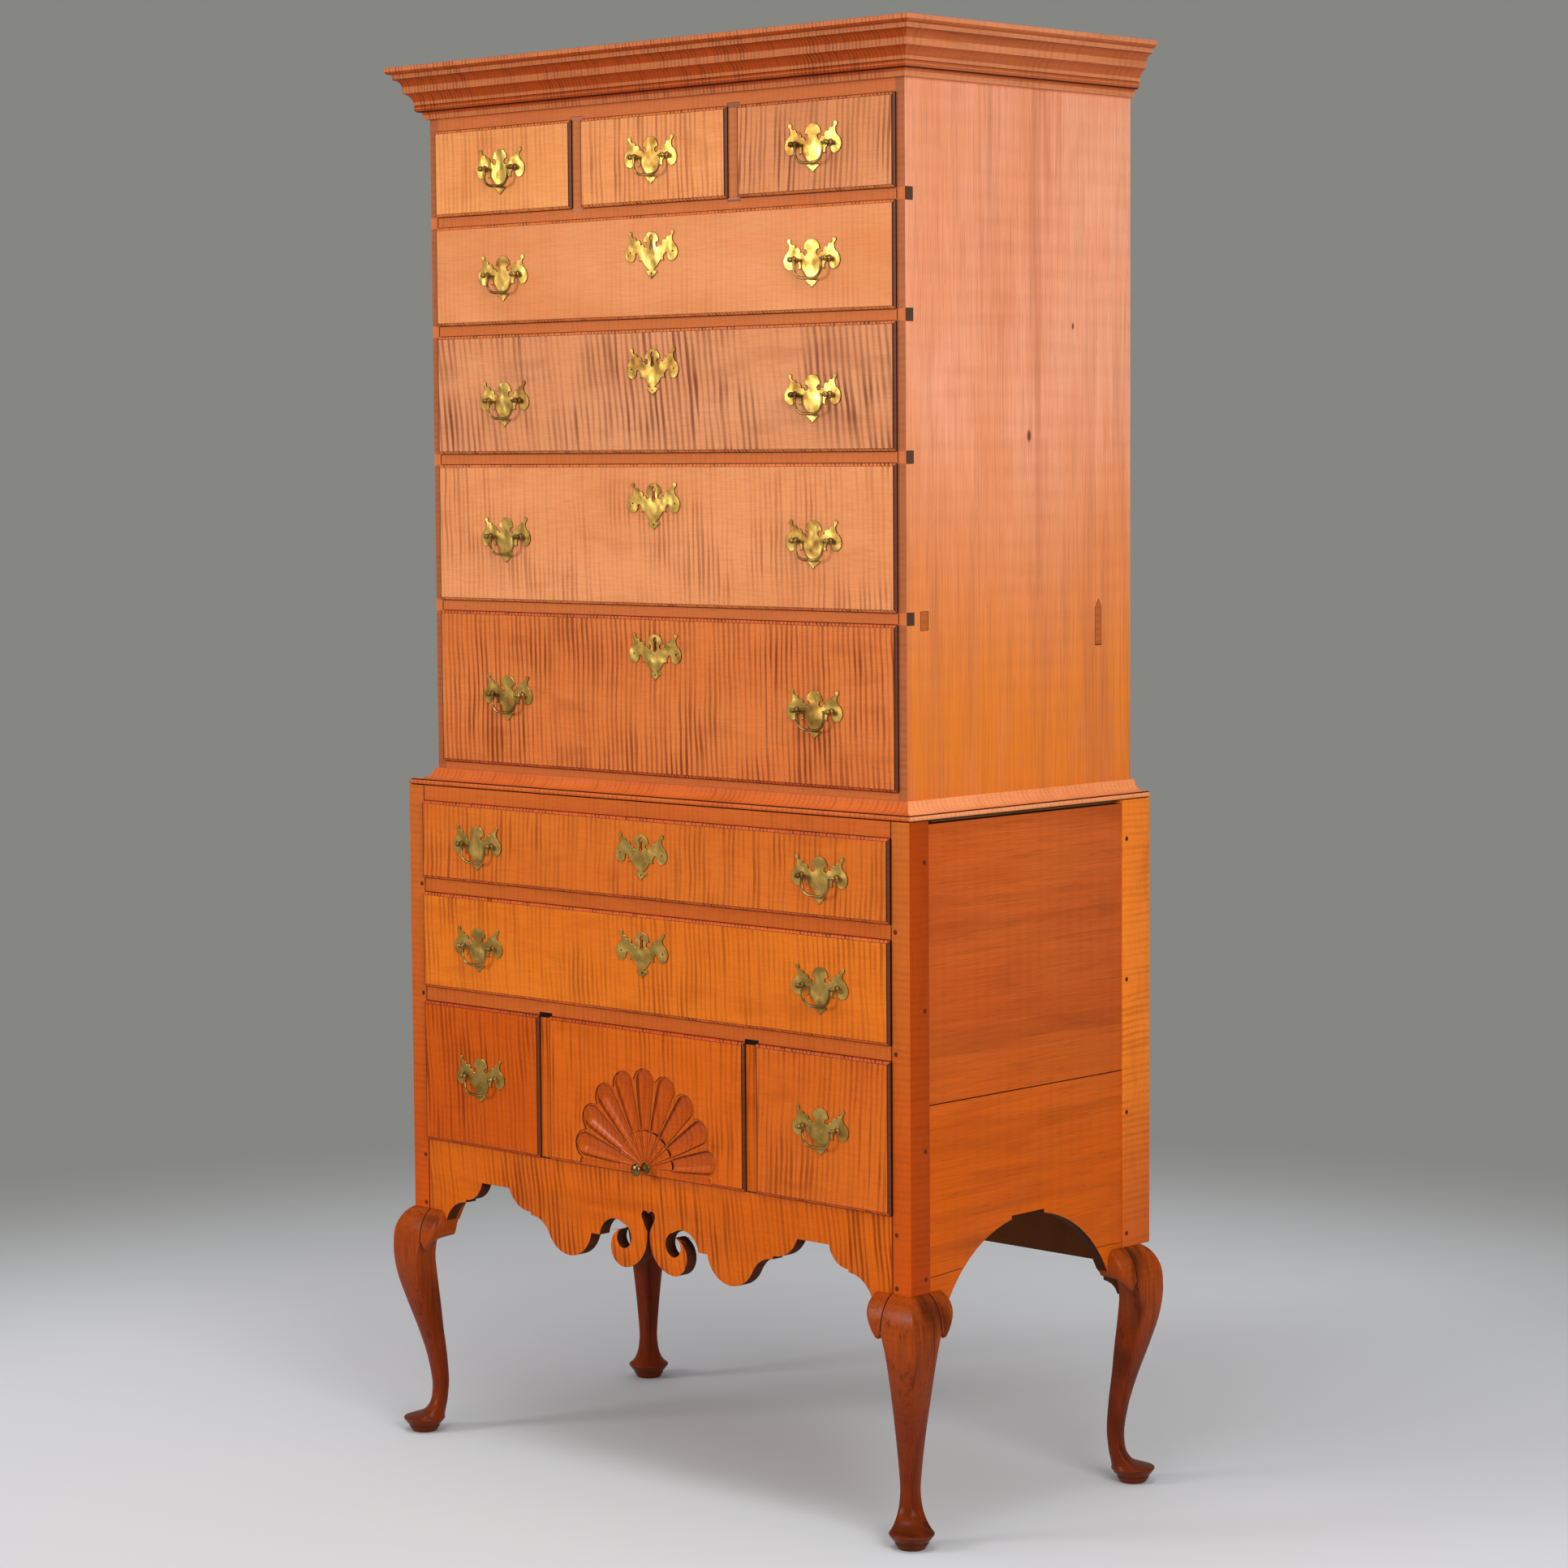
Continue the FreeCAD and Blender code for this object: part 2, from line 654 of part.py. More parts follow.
knobReach = 20.0
knobScrewLong = 14.0
postSpread = 29.0          # each post from the centre of its plate
plateStock = 1.2
postReach = 8.0            # plate to the middle of the post heads
headRadius = 4.2
stemRadius = 2.6
screwThick = 3.0
pinHole = 1.7
pinRadius = 1.3


def plateOutline():
    """Right half of a bat-wing plate, from the top of its head to the point of its drop."""
    return [(0, 24.3), (12.6, 16.0), (8.5, 8.0), (32.7, 17.0), (38.0, 25.5), (47.0, -2.0),
            (36.6, -12.6), (26.0, -3.0), (22.3, -12.1), (4.4, -22.8), (11.0, -26.8), (0, -34.2)]


def plate(x, z):
    """A bat-wing plate lying on a drawer front, its posts' level at z."""
    right = plateOutline()
    left = [(-u, v) for u, v in right[-2:0:-1]]
    outline = [(x + u, z + v) for u, v in right + left]
    return alongY(outline, -lipProud - plateStock, -lipProud)


def pivotHole(x, z, radius):
    """Square hole through a post head, along X."""
    y = -lipProud - plateStock - postReach
    return box(x - headRadius - 1, x + headRadius + 1, y - radius, y + radius, z - radius, z + radius)


def post(x, z):
    """A post that widens towards its head, pierced for the bail's pin."""
    face = -lipProud - plateStock
    head = face - postReach
    turning = [(headRadius, head - pinHole - 1.6), (stemRadius, face)]
    return facetedTurning(turning, 6, x, z).cut(pivotHole(x, z, pinHole))


def pull(x, z):
    """A bat-wing plate with the two posts riveted into it."""
    return plate(x, z).multiFuse([post(x - postSpread, z), post(x + postSpread, z)]).removeSplitter()


def keyhole(x, z):
    return box(x - 1.6, x + 1.6, -lipProud - plateStock - 1, frontStock + 1, z + 4, z + 15)


def lockCase(x, z, high):
    """Lock box on the back of the front, with its bolt drawn in, below the top edge."""
    case = box(x - 27, x + 27, frontStock, frontStock + 9, z - 14, z + 22)
    bolt = box(x - 9, x + 9, frontStock + 2, frontStock + 7, z + 22, min(z + 30, high))
    return [case, bolt]


bailTurns = 5
bailThick = 3.6
bailDrop = 25.0


def bail(x, z):
    """A drop handle: two pins outwards into the posts, shoulders and a flattened bow."""
    y = -lipProud - plateStock - postReach
    inner = postSpread - headRadius - 0.8
    outerPath = []
    innerPath = []
    for turn in range(bailTurns + 1):
        angle = math.pi * turn / bailTurns
        across = math.copysign(abs(math.cos(angle)) ** 0.6, math.cos(angle))
        down = math.sin(angle) ** 0.75
        outerPath.append((x + inner * across, z + 2 - (bailDrop + 2) * down))
        innerPath.append((x + (inner - bailThick) * across, z + 2 - (bailDrop + 2 - bailThick) * down))
    bow = alongY(outerPath + innerPath[::-1], y - bailThick / 2, y + bailThick / 2)
    half = pinRadius * 0.75
    pinRight = box(x + inner - 2, x + postSpread + 1, y - half, y + half, z - half, z + half)
    pinLeft = box(x - postSpread - 1, x - inner + 2, y - half, y + half, z - half, z + half)
    return bow.fuse(pinRight).fuse(pinLeft).removeSplitter()


def knob(x, z):
    """Brass knob of the shell drawer, seated on the shell's ground with a plain screw behind."""
    end = -lipProud - knobReach
    face = shellGround - lipProud
    turning = [(3.0, end), (8.2, end + 2.5), (8.2, end + 4.5), (3.0, end + 10), (3.0, face - 3),
               (7.5, face - 1.2), (7.5, face)]
    return [facetedTurning(turning, 12, x, z).fuse(knobScrew(x, z)).removeSplitter()]


def knobScrew(x, z):
    half = screwThick / 2
    return box(x - half, x + half, shellGround - lipProud, knobScrewLong - lipProud, z - half, z + half)


# Each drawer: name, lip left and right, row of lips, case ("upper" or "lower"), where its pulls
# and its escutcheon sit (x, and height of the post level above the floor) and its dovetails

def drawerPlan():
    half = upperPartitionStock / 2 - lipOver
    wide = lowerPartitionStock / 2 - lipOver
    upperEdge = upperInner + lipOver
    lowerEdge = lowerInner + lipOver
    top = upperLips[4]
    plan = [
        ("top_left", -upperEdge, -upperPartition - half, top, "upper", [(-278, 1691)], None, 2),
        ("top_middle", -upperPartition + half, upperPartition - half, top, "upper", [(0, 1691)], None, 2),
        ("top_right", upperPartition + half, upperEdge, top, "upper", [(278, 1691)], None, 2)]
    pulls = [(3, 1553.0, 1573.0, 2), (2, 1390.0, 1427.0, 3), (1, 1213.0, 1258.0, 3), (0, 1006.0, 1068.0, 3)]
    names = ["upper_first", "upper_second", "upper_third", "upper_fourth"]
    for name, (row, pull, escutcheon, tails) in zip(names, pulls):
        plan.append((name, -upperEdge, upperEdge, upperLips[row], "upper",
                     [(-275, pull), (275, pull)], (0, escutcheon), tails))
    for name, row, pull, escutcheon in [("lower_first", 2, 807.5, 816.0), ("lower_second", 1, 672.5, 691.0)]:
        plan.append((name, -lowerEdge, lowerEdge, lowerLips[row], "lower",
                     [(-308, pull), (308, pull)], (0, escutcheon), 2))
    bottom = lowerLips[0]
    plan.append(("bottom_left", -lowerEdge, -lowerPartition - wide, bottom, "lower", [(-307, 499)], None, 2))
    plan.append(("shell", -lowerPartition + wide, lowerPartition - wide, bottom, "lower", [], None, 2))
    plan.append(("bottom_right", lowerPartition + wide, lowerEdge, bottom, "lower", [(307, 499)], None, 2))
    return plan


def moved(solids, y):
    """The solids, pushed back to the face of their case."""
    for solid in solids:
        solid.translate(Vector(0, y, 0))
    return solids


def makeDrawers():
    """Every drawer with its brasses and its bails, each written as its own sub-part."""
    for name, x0, x1, (low, high), case, pulls, escutcheon, tails in drawerPlan():
        caseY = upperFront if case == "upper" else 0.0
        longBy = upperDrawerLong if case == "upper" else lowerDrawerLong
        wood = drawer(x0, x1, low, high, 0.0, longBy, tails)
        brasses = []
        holes = []
        for side, (x, z) in enumerate(pulls):
            brasses.append(pull(x, z))
            suffix = "" if len(pulls) == 1 else ("_left", "_right")[side]
            export(name + "_bail" + suffix, moved([bail(x, z)], caseY))
        if escutcheon:
            holes.append(keyhole(*escutcheon))
            brasses.append(plate(*escutcheon).cut(keyhole(*escutcheon)))
            brasses += lockCase(*escutcheon, high - 6)
        if name == "shell":
            knobAt = (0.0, shellCentre)
            wood[0] = carved(wood[0], low)
            holes.append(knobScrew(*knobAt))
            brasses += knob(*knobAt)
        if holes:
            wood[0] = wood[0].cut(Part.makeCompound(holes))
        export(name + "_drawer", moved(wood, caseY))
        export(name + "_brasses", moved(brasses, caseY))


# Runners, guides and kickers inside the cases

runnerWide = 28.0
guideTall = 14.0


def upperRunners():
    """Runners behind each upper rail, and wider ones with guides behind the two uprights."""
    y0 = upperFront + railDeep
    y1 = upperBack - backStock
    solids = []
    for low, high in upperRails:
        solids.append(box(upperInner - runnerWide, upperInner, y0, y1, low, high))
    low, high = upperRails[-1]
    x0 = upperPartition - upperPartitionStock / 2
    x1 = upperPartition + upperPartitionStock / 2
    solids.append(box(x0 - 20, x1 + 20, y0, y1, low, high))
    solids.append(box(x0, x1, y0, y1, high, high + guideTall))
    return solids


def lowerRunners():
    """Runners and guides of the lower case, and kickers over the top drawer."""
    y1 = lowerBack - 15
    solids = []
    for low, high in lowerRails:
        solids.append(box(lowerInner - runnerWide, panelInner, railDeep, backPostFront, low, high))
        solids.append(box(lowerInner, panelInner, railDeep, backPostFront, high, high + guideTall))
    low = apronTop - 20
    solids.append(box(lowerInner - runnerWide, lowerInner, apronStock, y1, low, apronTop))
    solids.append(box(lowerInner, panelInner, railDeep, backPostFront, apronTop - 6, apronTop + guideTall))
    x0 = lowerPartition - lowerPartitionStock / 2
    x1 = lowerPartition + lowerPartitionStock / 2
    solids.append(box(x0 - 20, x1 + 20, apronStock, y1, low, apronTop))
    solids.append(box(x0, x1, railDeep, y1, apronTop, apronTop + guideTall))
    solids.append(box(lowerInner - runnerWide - 10, panelInner, railDeep, backPostFront,
                      lowerTopRailLow, waist))
    return solids


def makeCase():
    """Everything that stays still."""
    export("upper_sides", upperSides())
    export("upper_top", upperTop())
    export("upper_bottom", upperBottom())
    export("upper_back", upperBackBoards())
    export("upper_rails", upperRailSolids())
    export("drawer_partitions", upperUprights() + lowerUprights())
    export("drawer_runners", bothSides(upperRunners() + lowerRunners()))
    export("cornice", cornice())
    export("waist_moulding", waistMoulding())
    front, back = legSolids()
    export("leg_front_right", [front])
    export("leg_front_left", [mirrored(front)])
    export("leg_back_right", [back])
    export("leg_back_left", [mirrored(back)])
    export("lower_sides", sideBoards())
    export("lower_back", lowerBackBoard())
    export("lower_rails", lowerRailSolids())
    export("apron", apron())
    export("pegs", pegs())
    export("knee_blocks", kneeBlocks(front, back))


backKnee = lowerBack - backPostExtra + max(kneeFace(station) for station in legStations)
frontKnob = lipProud + knobReach
middleY = (backKnee - frontKnob) / 2      # middle of the depth, from the knob to the back knees

os.makedirs("parts", exist_ok=True)
makeCase()
makeDrawers()
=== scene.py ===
import math

import bmesh
import bpy
from mathutils import Matrix, Vector


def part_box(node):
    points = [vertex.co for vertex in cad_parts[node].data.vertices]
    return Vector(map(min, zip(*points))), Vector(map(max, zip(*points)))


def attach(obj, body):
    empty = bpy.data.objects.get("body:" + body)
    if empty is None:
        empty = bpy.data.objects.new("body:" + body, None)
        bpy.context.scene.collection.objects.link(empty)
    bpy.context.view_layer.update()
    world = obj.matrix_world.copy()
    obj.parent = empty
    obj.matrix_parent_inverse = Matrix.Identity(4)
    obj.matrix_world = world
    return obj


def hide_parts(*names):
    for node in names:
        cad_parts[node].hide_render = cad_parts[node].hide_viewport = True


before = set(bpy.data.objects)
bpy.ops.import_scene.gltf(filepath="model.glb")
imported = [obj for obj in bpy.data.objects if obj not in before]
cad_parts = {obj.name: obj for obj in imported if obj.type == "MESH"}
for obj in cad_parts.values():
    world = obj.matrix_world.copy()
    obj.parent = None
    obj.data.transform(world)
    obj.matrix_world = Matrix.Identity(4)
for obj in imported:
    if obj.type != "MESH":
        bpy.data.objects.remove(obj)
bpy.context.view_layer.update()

# The numbers below are millimetres: x from the centre line, y from the face of the lower case,
# z from the floor. place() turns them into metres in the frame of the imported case.
mm = 0.001
middleDepth = 218.634      # from the face of the lower case to the middle of the whole depth
upperFace = 28.5           # how far back the face of the upper case stands
lipProud = 5.5             # how far the drawer fronts stand out of the case
weld = 1e-6                # metres: points nearer to each other than this are one
print("frame loaded:", len(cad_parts), "nodes")


def place(x, y, z):
    return Vector((x * mm, (y - middleDepth) * mm, z * mm))


# Outlines, lofts and turnings

def arcPoints(start, through, end, step):
    (ax, ay), (bx, by), (cx, cy) = start, through, end
    d = 2 * (ax * (by - cy) + bx * (cy - ay) + cx * (ay - by))
    a2, b2, c2 = ax * ax + ay * ay, bx * bx + by * by, cx * cx + cy * cy
    ux = (a2 * (by - cy) + b2 * (cy - ay) + c2 * (ay - by)) / d
    uy = (a2 * (cx - bx) + b2 * (ax - cx) + c2 * (bx - ax)) / d
    radius = math.hypot(ax - ux, ay - uy)
    first = math.atan2(ay - uy, ax - ux)
    turn = (math.atan2(cy - uy, cx - ux) - first) % math.tau
    if (math.atan2(by - uy, bx - ux) - first) % math.tau > turn:
        turn -= math.tau
    count = max(2, math.ceil(abs(turn) / math.radians(step)))
    return [(ux + radius * math.cos(first + turn * k / count),
             uy + radius * math.sin(first + turn * k / count)) for k in range(1, count + 1)]


def drawPath(path, step=9):
    # a step is a point, or a pair of points for an arc through the first to the second
    points = [path[0]]
    for move in path[1:]:
        points += arcPoints(points[-1], *move, step) if isinstance(move[0], tuple) else [move]
    return points


def bothHalves(half):
    # a right-hand outline that starts and ends on the centre line, with its left-hand twin
    twin = [(-u, v) for u, v in half[::-1] if abs(u) > 1e-6]
    return half + twin


def loft(rings, closed=True, capped=True):
    count = len(rings[0])
    points = [point for ring in rings for point in ring]
    faces = []
    for i in range(len(rings) - 1):
        for k in range(count if closed else count - 1):
            a, b = i * count + k, i * count + (k + 1) % count
            faces.append((a, b, b + count, a + count))
    if capped:
        faces += [tuple(range(count)), tuple(range(len(points) - count, len(points)))]
    return points, faces


def circle(radius, count):
    turns = [math.tau * k / count for k in range(count)]
    return [(radius * math.cos(turn), radius * math.sin(turn)) for turn in turns]


def turnedAlongY(profile, x, z, sides=24):
    # profile: (radius, y) pairs
    return loft([[place(x + u, y, z + v) for u, v in circle(r, sides)] for r, y in profile])


def turnedAlongX(profile, y, z, sides=12):
    # profile: (radius, x) pairs
    return loft([[place(x, y + u, z + v) for u, v in circle(r, sides)] for r, x in profile])


def softBox(x0, x1, y0, y1, z0, z1, soft=0.6):
    # a squared length with softened arrises, its ends up and down
    ring = []
    inward = soft * 0.29      # of the middle of an arris
    for x, y, sx, sy in ((x0, y0, 1, 1), (x1, y0, -1, 1), (x1, y1, -1, -1), (x0, y1, 1, -1)):
        a, b = (x + sx * soft, y), (x, y + sy * soft)
        middle = (x + sx * inward, y + sy * inward)
        ring += [b, middle, a] if sx == sy else [a, middle, b]
    return loft([[place(x, y, z) for x, y in ring] for z in (z0, z1)])


def smoothBetween(stations, count):
    # Catmull-Rom through rows of numbers, count steps between each pair
    rows = []
    last = len(stations) - 1
    for i in range(last):
        p0, p1 = stations[max(i - 1, 0)], stations[i]
        p2, p3 = stations[i + 1], stations[min(i + 2, last)]
        for k in range(count):
            t = k / count
            rows.append([0.5 * (2 * b + (c - a) * t + (2 * a - 5 * b + 4 * c - d) * t * t
                                + (3 * b - a - 3 * c + d) * t ** 3)
                         for a, b, c, d in zip(p0, p1, p2, p3)])
    return rows + [list(stations[last])]


def tubeAlong(line, radii, sides=14):
    # a round bar along a line of points that lies in one plane square to Y
    rings = []
    square = Vector((0, 1, 0))
    for i, point in enumerate(line):
        ahead = (line[min(i + 1, len(line) - 1)] - line[max(i - 1, 0)]).normalized()
        out = ahead.cross(square).normalized()
        rings.append([point + (out * u + square * v) * radii[i] * mm for u, v in circle(1, sides)])
    return loft(rings)


def flatPlate(outlines, thick, soft):
    # a plate cut to its outlines, with eased edges: (u, v) across it, w through it
    curve = bpy.data.curves.new("plateOutline", "CURVE")
    curve.dimensions, curve.fill_mode = "2D", "BOTH"
    curve.extrude, curve.bevel_depth, curve.bevel_resolution = thick / 2 - soft, soft, 1
    curve.offset = -soft
    for outline in outlines:
        spline = curve.splines.new("POLY")
        spline.points.add(len(outline) - 1)
        for point, (u, v) in zip(spline.points, outline):
            point.co = (u, v, 0, 1)
        spline.use_cyclic_u = True
    carrier = bpy.data.objects.new("plateOutline", curve)
    mesh = bpy.data.meshes.new_from_object(carrier)
    points = [vertex.co.copy() for vertex in mesh.vertices]
    faces = [tuple(polygon.vertices) for polygon in mesh.polygons]
    bpy.data.objects.remove(carrier)
    bpy.data.curves.remove(curve)
    bpy.data.meshes.remove(mesh)
    return points, faces


def hungPlate(outlines, thick, soft, x, y, z):
    # the same plate, upright: its back at y and its face towards the front
    points, faces = flatPlate(outlines, thick, soft)
    return [place(x + p.x, y - thick / 2 - p.z, z + p.y) for p in points], faces


def makePiece(name, body, parts, finishes, replaced=(), sharp=35, kept=()):
    # parts: (points, faces) or (points, faces, number of the finish); kept: finishes whose faces
    # already look outwards
    mesh = bpy.data.meshes.new(name)
    points, faces, numbers = [], [], []
    for part in parts:
        faces += [tuple(len(points) + index for index in face) for face in part[1]]
        numbers += [part[2] if len(part) > 2 else 0] * len(part[1])
        points += part[0]
    mesh.from_pydata(points, [], faces)
    mesh.polygons.foreach_set("material_index", numbers)
    for finish in finishes:
        mesh.materials.append(finish)
    work = bmesh.new()
    work.from_mesh(mesh)
    bmesh.ops.remove_doubles(work, verts=work.verts, dist=weld)
    turned = [face for face in work.faces if face.material_index not in kept]
    bmesh.ops.recalc_face_normals(work, faces=turned)
    work.to_mesh(mesh)
    work.free()
    mesh.polygons.foreach_set("use_smooth", [True] * len(mesh.polygons))
    mesh.set_sharp_from_angle(angle=math.radians(sharp))
    piece = bpy.data.objects.new(name, mesh)
    bpy.context.scene.collection.objects.link(piece)
    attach(piece, body)
    if replaced:
        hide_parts(*replaced)
    return piece


# Finishes

def linear(colour):
    return [(c / 255 / 12.92 if c / 255 <= 0.04045 else ((c / 255 + 0.055) / 1.055) ** 2.4)
            for c in colour] + [1.0]


def toned(colour, shares):
    return [c * share for c, share in zip(colour, shares)]


def addNode(tree, kind, inputs=(), **settings):
    made = tree.nodes.new("ShaderNode" + kind)
    for key, value in settings.items():
        setattr(made, key, value)
    for socket, value in dict(inputs).items():
        if isinstance(value, bpy.types.NodeSocket):
            tree.links.new(value, made.inputs[socket])
        else:
            made.inputs[socket].default_value = value
    return made


def maths(tree, operation, a, b=0.0, clamp=False):
    return addNode(tree, "Math", {0: a, 1: b}, operation=operation, use_clamp=clamp).outputs[0]


def noise(tree, where, detail=2.0, rough=0.5):
    return addNode(tree, "TexNoise", {"Vector": where, "Scale": 1.0, "Detail": detail,
                                      "Roughness": rough}).outputs[0]


def stretched(tree, where, scale, shift=(0, 0, 0)):
    return addNode(tree, "Mapping", {"Vector": where, "Scale": scale, "Location": shift}).outputs[0]


def band(tree, value, low, high, bottom=0.0, top=1.0):
    return addNode(tree, "MapRange", {"Value": value, "From Min": low, "From Max": high, "To Min": bottom,
                                      "To Max": top}, interpolation_type="SMOOTHSTEP").outputs[0]


def blend(tree, share, a, b, mode="MIX"):
    return addNode(tree, "Mix", {0: share, 6: a, 7: b}, data_type="RGBA", blend_type=mode).outputs[2]


def startFinish(name):
    finish = bpy.data.materials.new(name)
    finish.use_nodes = True
    tree = finish.node_tree
    where = addNode(tree, "TexCoord").outputs["Object"]
    return finish, tree, tree.nodes["Principled BSDF"], where


def spread(tree, value, reach):
    # a noise turned into a distance to either side of nothing
    return maths(tree, "MULTIPLY", maths(tree, "SUBTRACT", value, 0.5), reach)


def window(tree, value, low, high, soft):
    # 1 between low and high, 0 outside
    return maths(tree, "MULTIPLY", band(tree, value, low - soft, low),
                 band(tree, value, high, high + soft, 1.0, 0.0))


def away(tree, value, level):
    return maths(tree, "ABSOLUTE", maths(tree, "SUBTRACT", value, level * mm))


def nearest(tree, value, levels):
    # the distance to the nearest of some levels
    least = away(tree, value, levels[0])
    for level in levels[1:]:
        least = maths(tree, "MINIMUM", least, away(tree, value, level))
    return least


def lineAt(tree, distance, full, gone, strength=1.0):
    # a soft line, full up to one distance and gone at the other, both in millimetres
    return band(tree, distance, full * mm, gone * mm, strength, 0.0)


# Marks that lie at their own place on the case. at holds x, y and z, the distance beside the centre
# line, and a small wander for what isn't cut by a tool.
markShades = {"lips": (38, 14, 6), "rim": (40, 22, 18), "crack": (48, 20, 8), "knot": (70, 34, 22)}


def markField(tree, at, look, colour):
    # a painted line of shade in the quirk round the field of a drawer front
    x0, x1, z0, z1 = look["field"]
    edge = maths(tree, "MINIMUM", nearest(tree, at["x"], (x0, x1)), nearest(tree, at["z"], (z0, z1)))
    return blend(tree, lineAt(tree, edge, 0.35, 1.0, 0.75), colour, linear(look["seam"]))


def markLips(tree, at, look, colour):
    # the line of shade round the drawers, on the wood between them
    levels, reach = look["lips"]
    line = maths(tree, "MULTIPLY", lineAt(tree, nearest(tree, at["z"], levels), 0.5, 1.5),
                 lineAt(tree, at["beside"], reach, reach + 1))
    line = maths(tree, "MAXIMUM", line, lineAt(tree, away(tree, at["beside"], reach), 0.5, 1.3))
    return blend(tree, maths(tree, "MULTIPLY", line, 0.9), colour, linear(markShades["lips"]))


def markEnds(tree, at, look, colour):
    # the housed ends of the uprights, and at the top of the lower uprights a painted shadow in the gap: on
    # which side (0 is both), from and to which height, and their colour
    middle, half, levels = look["housed"]
    rim = maths(tree, "MAXIMUM", lineAt(tree, away(tree, away(tree, at["beside"], middle), half), 0.3, 0.9),
                lineAt(tree, nearest(tree, at["z"], levels), 0.3, 0.9))
    rim = maths(tree, "MULTIPLY", rim, 0.8)
    for side, low, high, shade in look["ends"]:
        end = window(tree, at["z"], low * mm, high * mm, 0.3 * mm)
        if side:
            onSide = band(tree, maths(tree, "MULTIPLY", at["x"], side), -mm, mm)
            end = maths(tree, "MULTIPLY", end, onSide)
        colour = blend(tree, end, colour, blend(tree, rim, linear(shade), linear(markShades["rim"])))
    return colour


def markCracks(tree, at, look, colour):
    # height, from and to which depth, width: one from the front edge on is a straight joint
    for level, front, back, wide in look["cracks"]:
        height = maths(tree, "ADD", at["z"], at["wander"]) if front else at["z"]
        line = maths(tree, "MULTIPLY", lineAt(tree, away(tree, height, level), wide * 0.4, wide),
                     window(tree, at["y"], (front - middleDepth) * mm, (back - middleDepth) * mm, 6 * mm))
        colour = blend(tree, line, colour, linear(markShades["crack"]))
    return colour


def markKnots(tree, at, look, colour):
    # depth, height, radius: a knot is drawn out along the grain
    ground = addNode(tree, "CombineXYZ", {1: at["y"], 2: at["z"]}).outputs[0]
    for y, z, radius in look["knots"]:
        reach = addNode(tree, "VectorMath", {0: ground, 1: (0, (y - middleDepth) * mm, z * mm)},
                        operation="SUBTRACT").outputs[0]
        reach = addNode(tree, "VectorMath", {0: reach, 1: (1, 1, 0.5)}, operation="MULTIPLY").outputs[0]
        reach = addNode(tree, "VectorMath", {0: reach}, operation="LENGTH").outputs["Value"]
        reach = maths(tree, "ADD", reach, maths(tree, "MULTIPLY", at["wander"], 0.25))
        colour = blend(tree, lineAt(tree, reach, radius * 0.5, radius * 2.2, 0.85), colour,
                       linear(markShades["knot"]))
    return colour


marks = {"field": markField, "lips": markLips, "ends": markEnds, "cracks": markCracks, "knots": markKnots}


def woodMarks(tree, where, colour, look):
    if not marks.keys() & look.keys():
        return colour
    x, y, z = addNode(tree, "SeparateXYZ", {0: where}).outputs[:3]
    wander = spread(tree, noise(tree, stretched(tree, where, (14, 14, 14))), 12 * mm)
    at = {"x": x, "y": y, "z": z, "beside": maths(tree, "ABSOLUTE", x), "wander": wander}
    for kind, mark in marks.items():
        if kind in look:
            colour = mark(tree, at, look, colour)
    return colour


# What a wood's look may set, with the values of plain maple. Every look has a light and a dark colour.
plainMaple = {
    "grain": "x", "seed": 0.0,
    "pitch": 0.0085, "long": 12, "lean": 0.0, "sway": 0.008, "twist": 0.004,      # lines of the curl
    "wave": 0.62, "loose": 3.2, "from": -0.3, "to": 0.9, "least": 0.5, "curl": 0.6,      # and their depth
    "strand": 34, "fibre": (0.93, 1.05), "cloud": 0.5, "dull": 0.25, "streak": 0.0, "flecks": 0.16,
    "rough": 0.46, "relief": 0.1, "shine": 0.1,
}
grainAxes = {"x": (0, 2, 1), "y": (1, 2, 0), "z": (2, 1, 0)}      # along, across and through the board


def figuresOf(look):
    # scale along, across and through the board; how the seed shifts it along and across, and its shift
    # through; the detail and roughness of the noise; between which values it comes to show
    curls = 0.9 / look["pitch"]
    return {
        "sway": ((7, 10, 5), (1, 1, 2.1), 1.0, 0.5, None),
        "twist": ((34, 16, 20), (2, 1, 0.3), 1.0, 0.5, None),
        "loose": ((curls, curls / look["long"], 14), (5, 1, 1.4), 2.0, 0.45, None),
        "fade": ((0.22 / look["pitch"], 9, 6), (3, 1, 0.4), 1.0, 0.5, (0.36, 0.6)),
        "patches": ((6, 9, 4), (2, 1, 1.0), 2.0, 0.5, (0.36, 0.62)),
        "fibres": ((look["strand"], 520, 520), (1, 1, 0), 3.0, 0.7, None),
        "cloud": ((3, 10, 6), (1.7, 1, 0), 3.0, 0.55, (0.3, 0.7)),
        "dull": ((8, 26, 8), (4, 2, 0.7), 2.0, 0.6, (0.52, 0.74)),
        "streak": ((1.5, 34, 20), (6, 3, 0.2), 3.0, 0.6, (0.48, 0.72)),
        "hairStreak": ((9, 420, 90), (2, 5, 0.9), 2.0, 0.6, (0.54, 0.76)),
        "flecks": ((30, 620, 300), (3, 7, 0.5), 2.0, 0.6, (0.6, 0.72)),
    }


